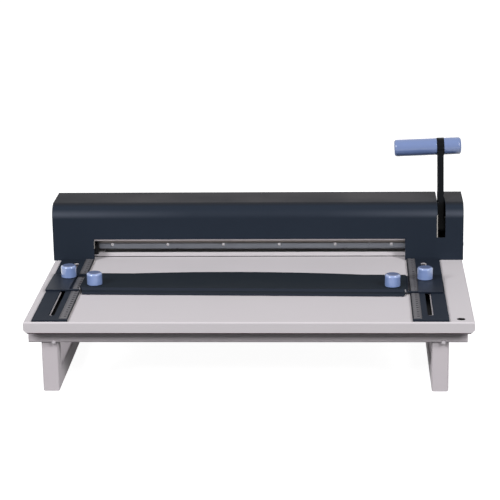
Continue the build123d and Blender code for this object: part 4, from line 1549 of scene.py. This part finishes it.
@dataclass
class Studio:
    """The white room with its floor, the lamps and the camera."""

    floor_reach: float = 40.0
    floor_drop: float = 0.4 * MM
    floor_bounce: float = 0.13
    floor_white: float = 0.42
    floor_lift: float = 0.95
    sky_strength: float = 0.14
    lamps: tuple[Softbox, ...] = (
        Softbox("left_softbox", (-3.80, -3.60, 3.70), 260.0, 1.6, 2.6),
        Softbox("right_softbox", (3.80, -3.60, 3.70), 222.0, 1.6, 2.6),
        Softbox("left_spark", (-2.0, -1.74, 2.56), 11.0, 0.3, 0.3),
        Softbox("right_spark", (1.84, -1.9, 2.56), 11.0, 0.3, 0.3),
        Softbox("rear_window", (-0.1, 2.9, 1.05), 3.6, 0.9, 1.1, (1.0, 0.84, 0.78)),
    )
    camera_place: Point = (0.1405, -2.7496, 0.9482)
    camera_turn: Point = (73.9729, 0.9150, 2.7812)
    lens: float = 136.685
    sensor: float = 36.0
    clip: tuple[float, float] = (0.05, 200.0)

    def seen(self, sheet: Sheet) -> Socket:
        """Tells what the camera, a reflection or a clear piece sees directly.

        Args:
            sheet: The tree it is used in.

        Returns:
            1 for such a ray, 0 for any other.
        """
        path = sheet.add("ShaderNodeLightPath").outputs
        first = sheet.maths("MAXIMUM", path["Is Camera Ray"], path["Is Glossy Ray"])
        return sheet.maths("MAXIMUM", first, path["Is Transmission Ray"])

    def world(self) -> None:
        """Makes a sky that is white to look at and softer as a light."""
        world = bpy.data.worlds.new("white_room")
        bpy.context.scene.world = world
        sheet = Sheet(emptied(world))
        light, white = (
            sheet.add("ShaderNodeBackground", {"Color": WHITE, "Strength": strength})
            for strength in (self.sky_strength, 1.0)
        )
        feeds = {0: self.seen(sheet), 1: light.outputs[0], 2: white.outputs[0]}
        mix = sheet.add("ShaderNodeMixShader", feeds)
        sheet.add("ShaderNodeOutputWorld", {"Surface": mix.outputs[0]})

    def floor(self) -> None:
        """Lays a floor that looks white, takes the machine's shadow and throws little light up."""
        bm = bmesh.new()
        bmesh.ops.create_grid(bm, x_segments=1, y_segments=1, size=self.floor_reach / 2)
        bm.transform(Matrix.Translation((0, 0, -self.floor_drop)))
        floor = new_piece("floor", mesh_from("floor", bm))
        material = bpy.data.materials.new("floor_white")
        sheet = Sheet(emptied(material))
        seen = self.seen(sheet)
        dull, pale = ((grey, grey, grey, 1.0) for grey in (self.floor_bounce, self.floor_white))
        feeds = {"Factor": seen, "A": dull, "B": pale}
        shade = sheet.add("ShaderNodeMix", feeds, data_type="RGBA").outputs["Result"]
        matt = sheet.add("ShaderNodeBsdfDiffuse", {"Color": shade})
        strength = sheet.maths("MULTIPLY", seen, self.floor_lift)
        lift = sheet.add("ShaderNodeEmission", {"Strength": strength})
        both = sheet.add("ShaderNodeAddShader", {0: matt.outputs[0], 1: lift.outputs[0]})
        sheet.add("ShaderNodeOutputMaterial", {"Surface": both.outputs[0]})
        floor.data.materials.append(material)

    def camera(self) -> None:
        """Puts the camera where the photograph was taken from."""
        data = bpy.data.cameras.new("camera")
        data.lens = self.lens
        data.sensor_width = self.sensor
        data.clip_start, data.clip_end = self.clip
        camera = new_piece("camera", data)
        camera.location = self.camera_place
        camera.rotation_euler = Euler([math.radians(turn) for turn in self.camera_turn])
        bpy.context.scene.camera = camera

    def build(self) -> None:
        """Sets up the whole studio."""
        bpy.context.scene.view_settings.view_transform = "Standard"
        self.world()
        self.floor()
        for lamp in self.lamps:
            lamp.hang()
        self.camera()


def main() -> None:
    """Dresses the machine and sets up the studio."""
    logging.basicConfig(level=logging.INFO, format="%(message)s")
    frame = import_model()
    dresser = Dresser(frame["nodes"])
    palette = Palette()
    for assembly in (Stand, Rules, Cover, Press, Lever, Stop):
        part = assembly(dresser, palette)
        part.dress()
        part.build()
    Studio().build()


if __name__ == "__main__":
    main()
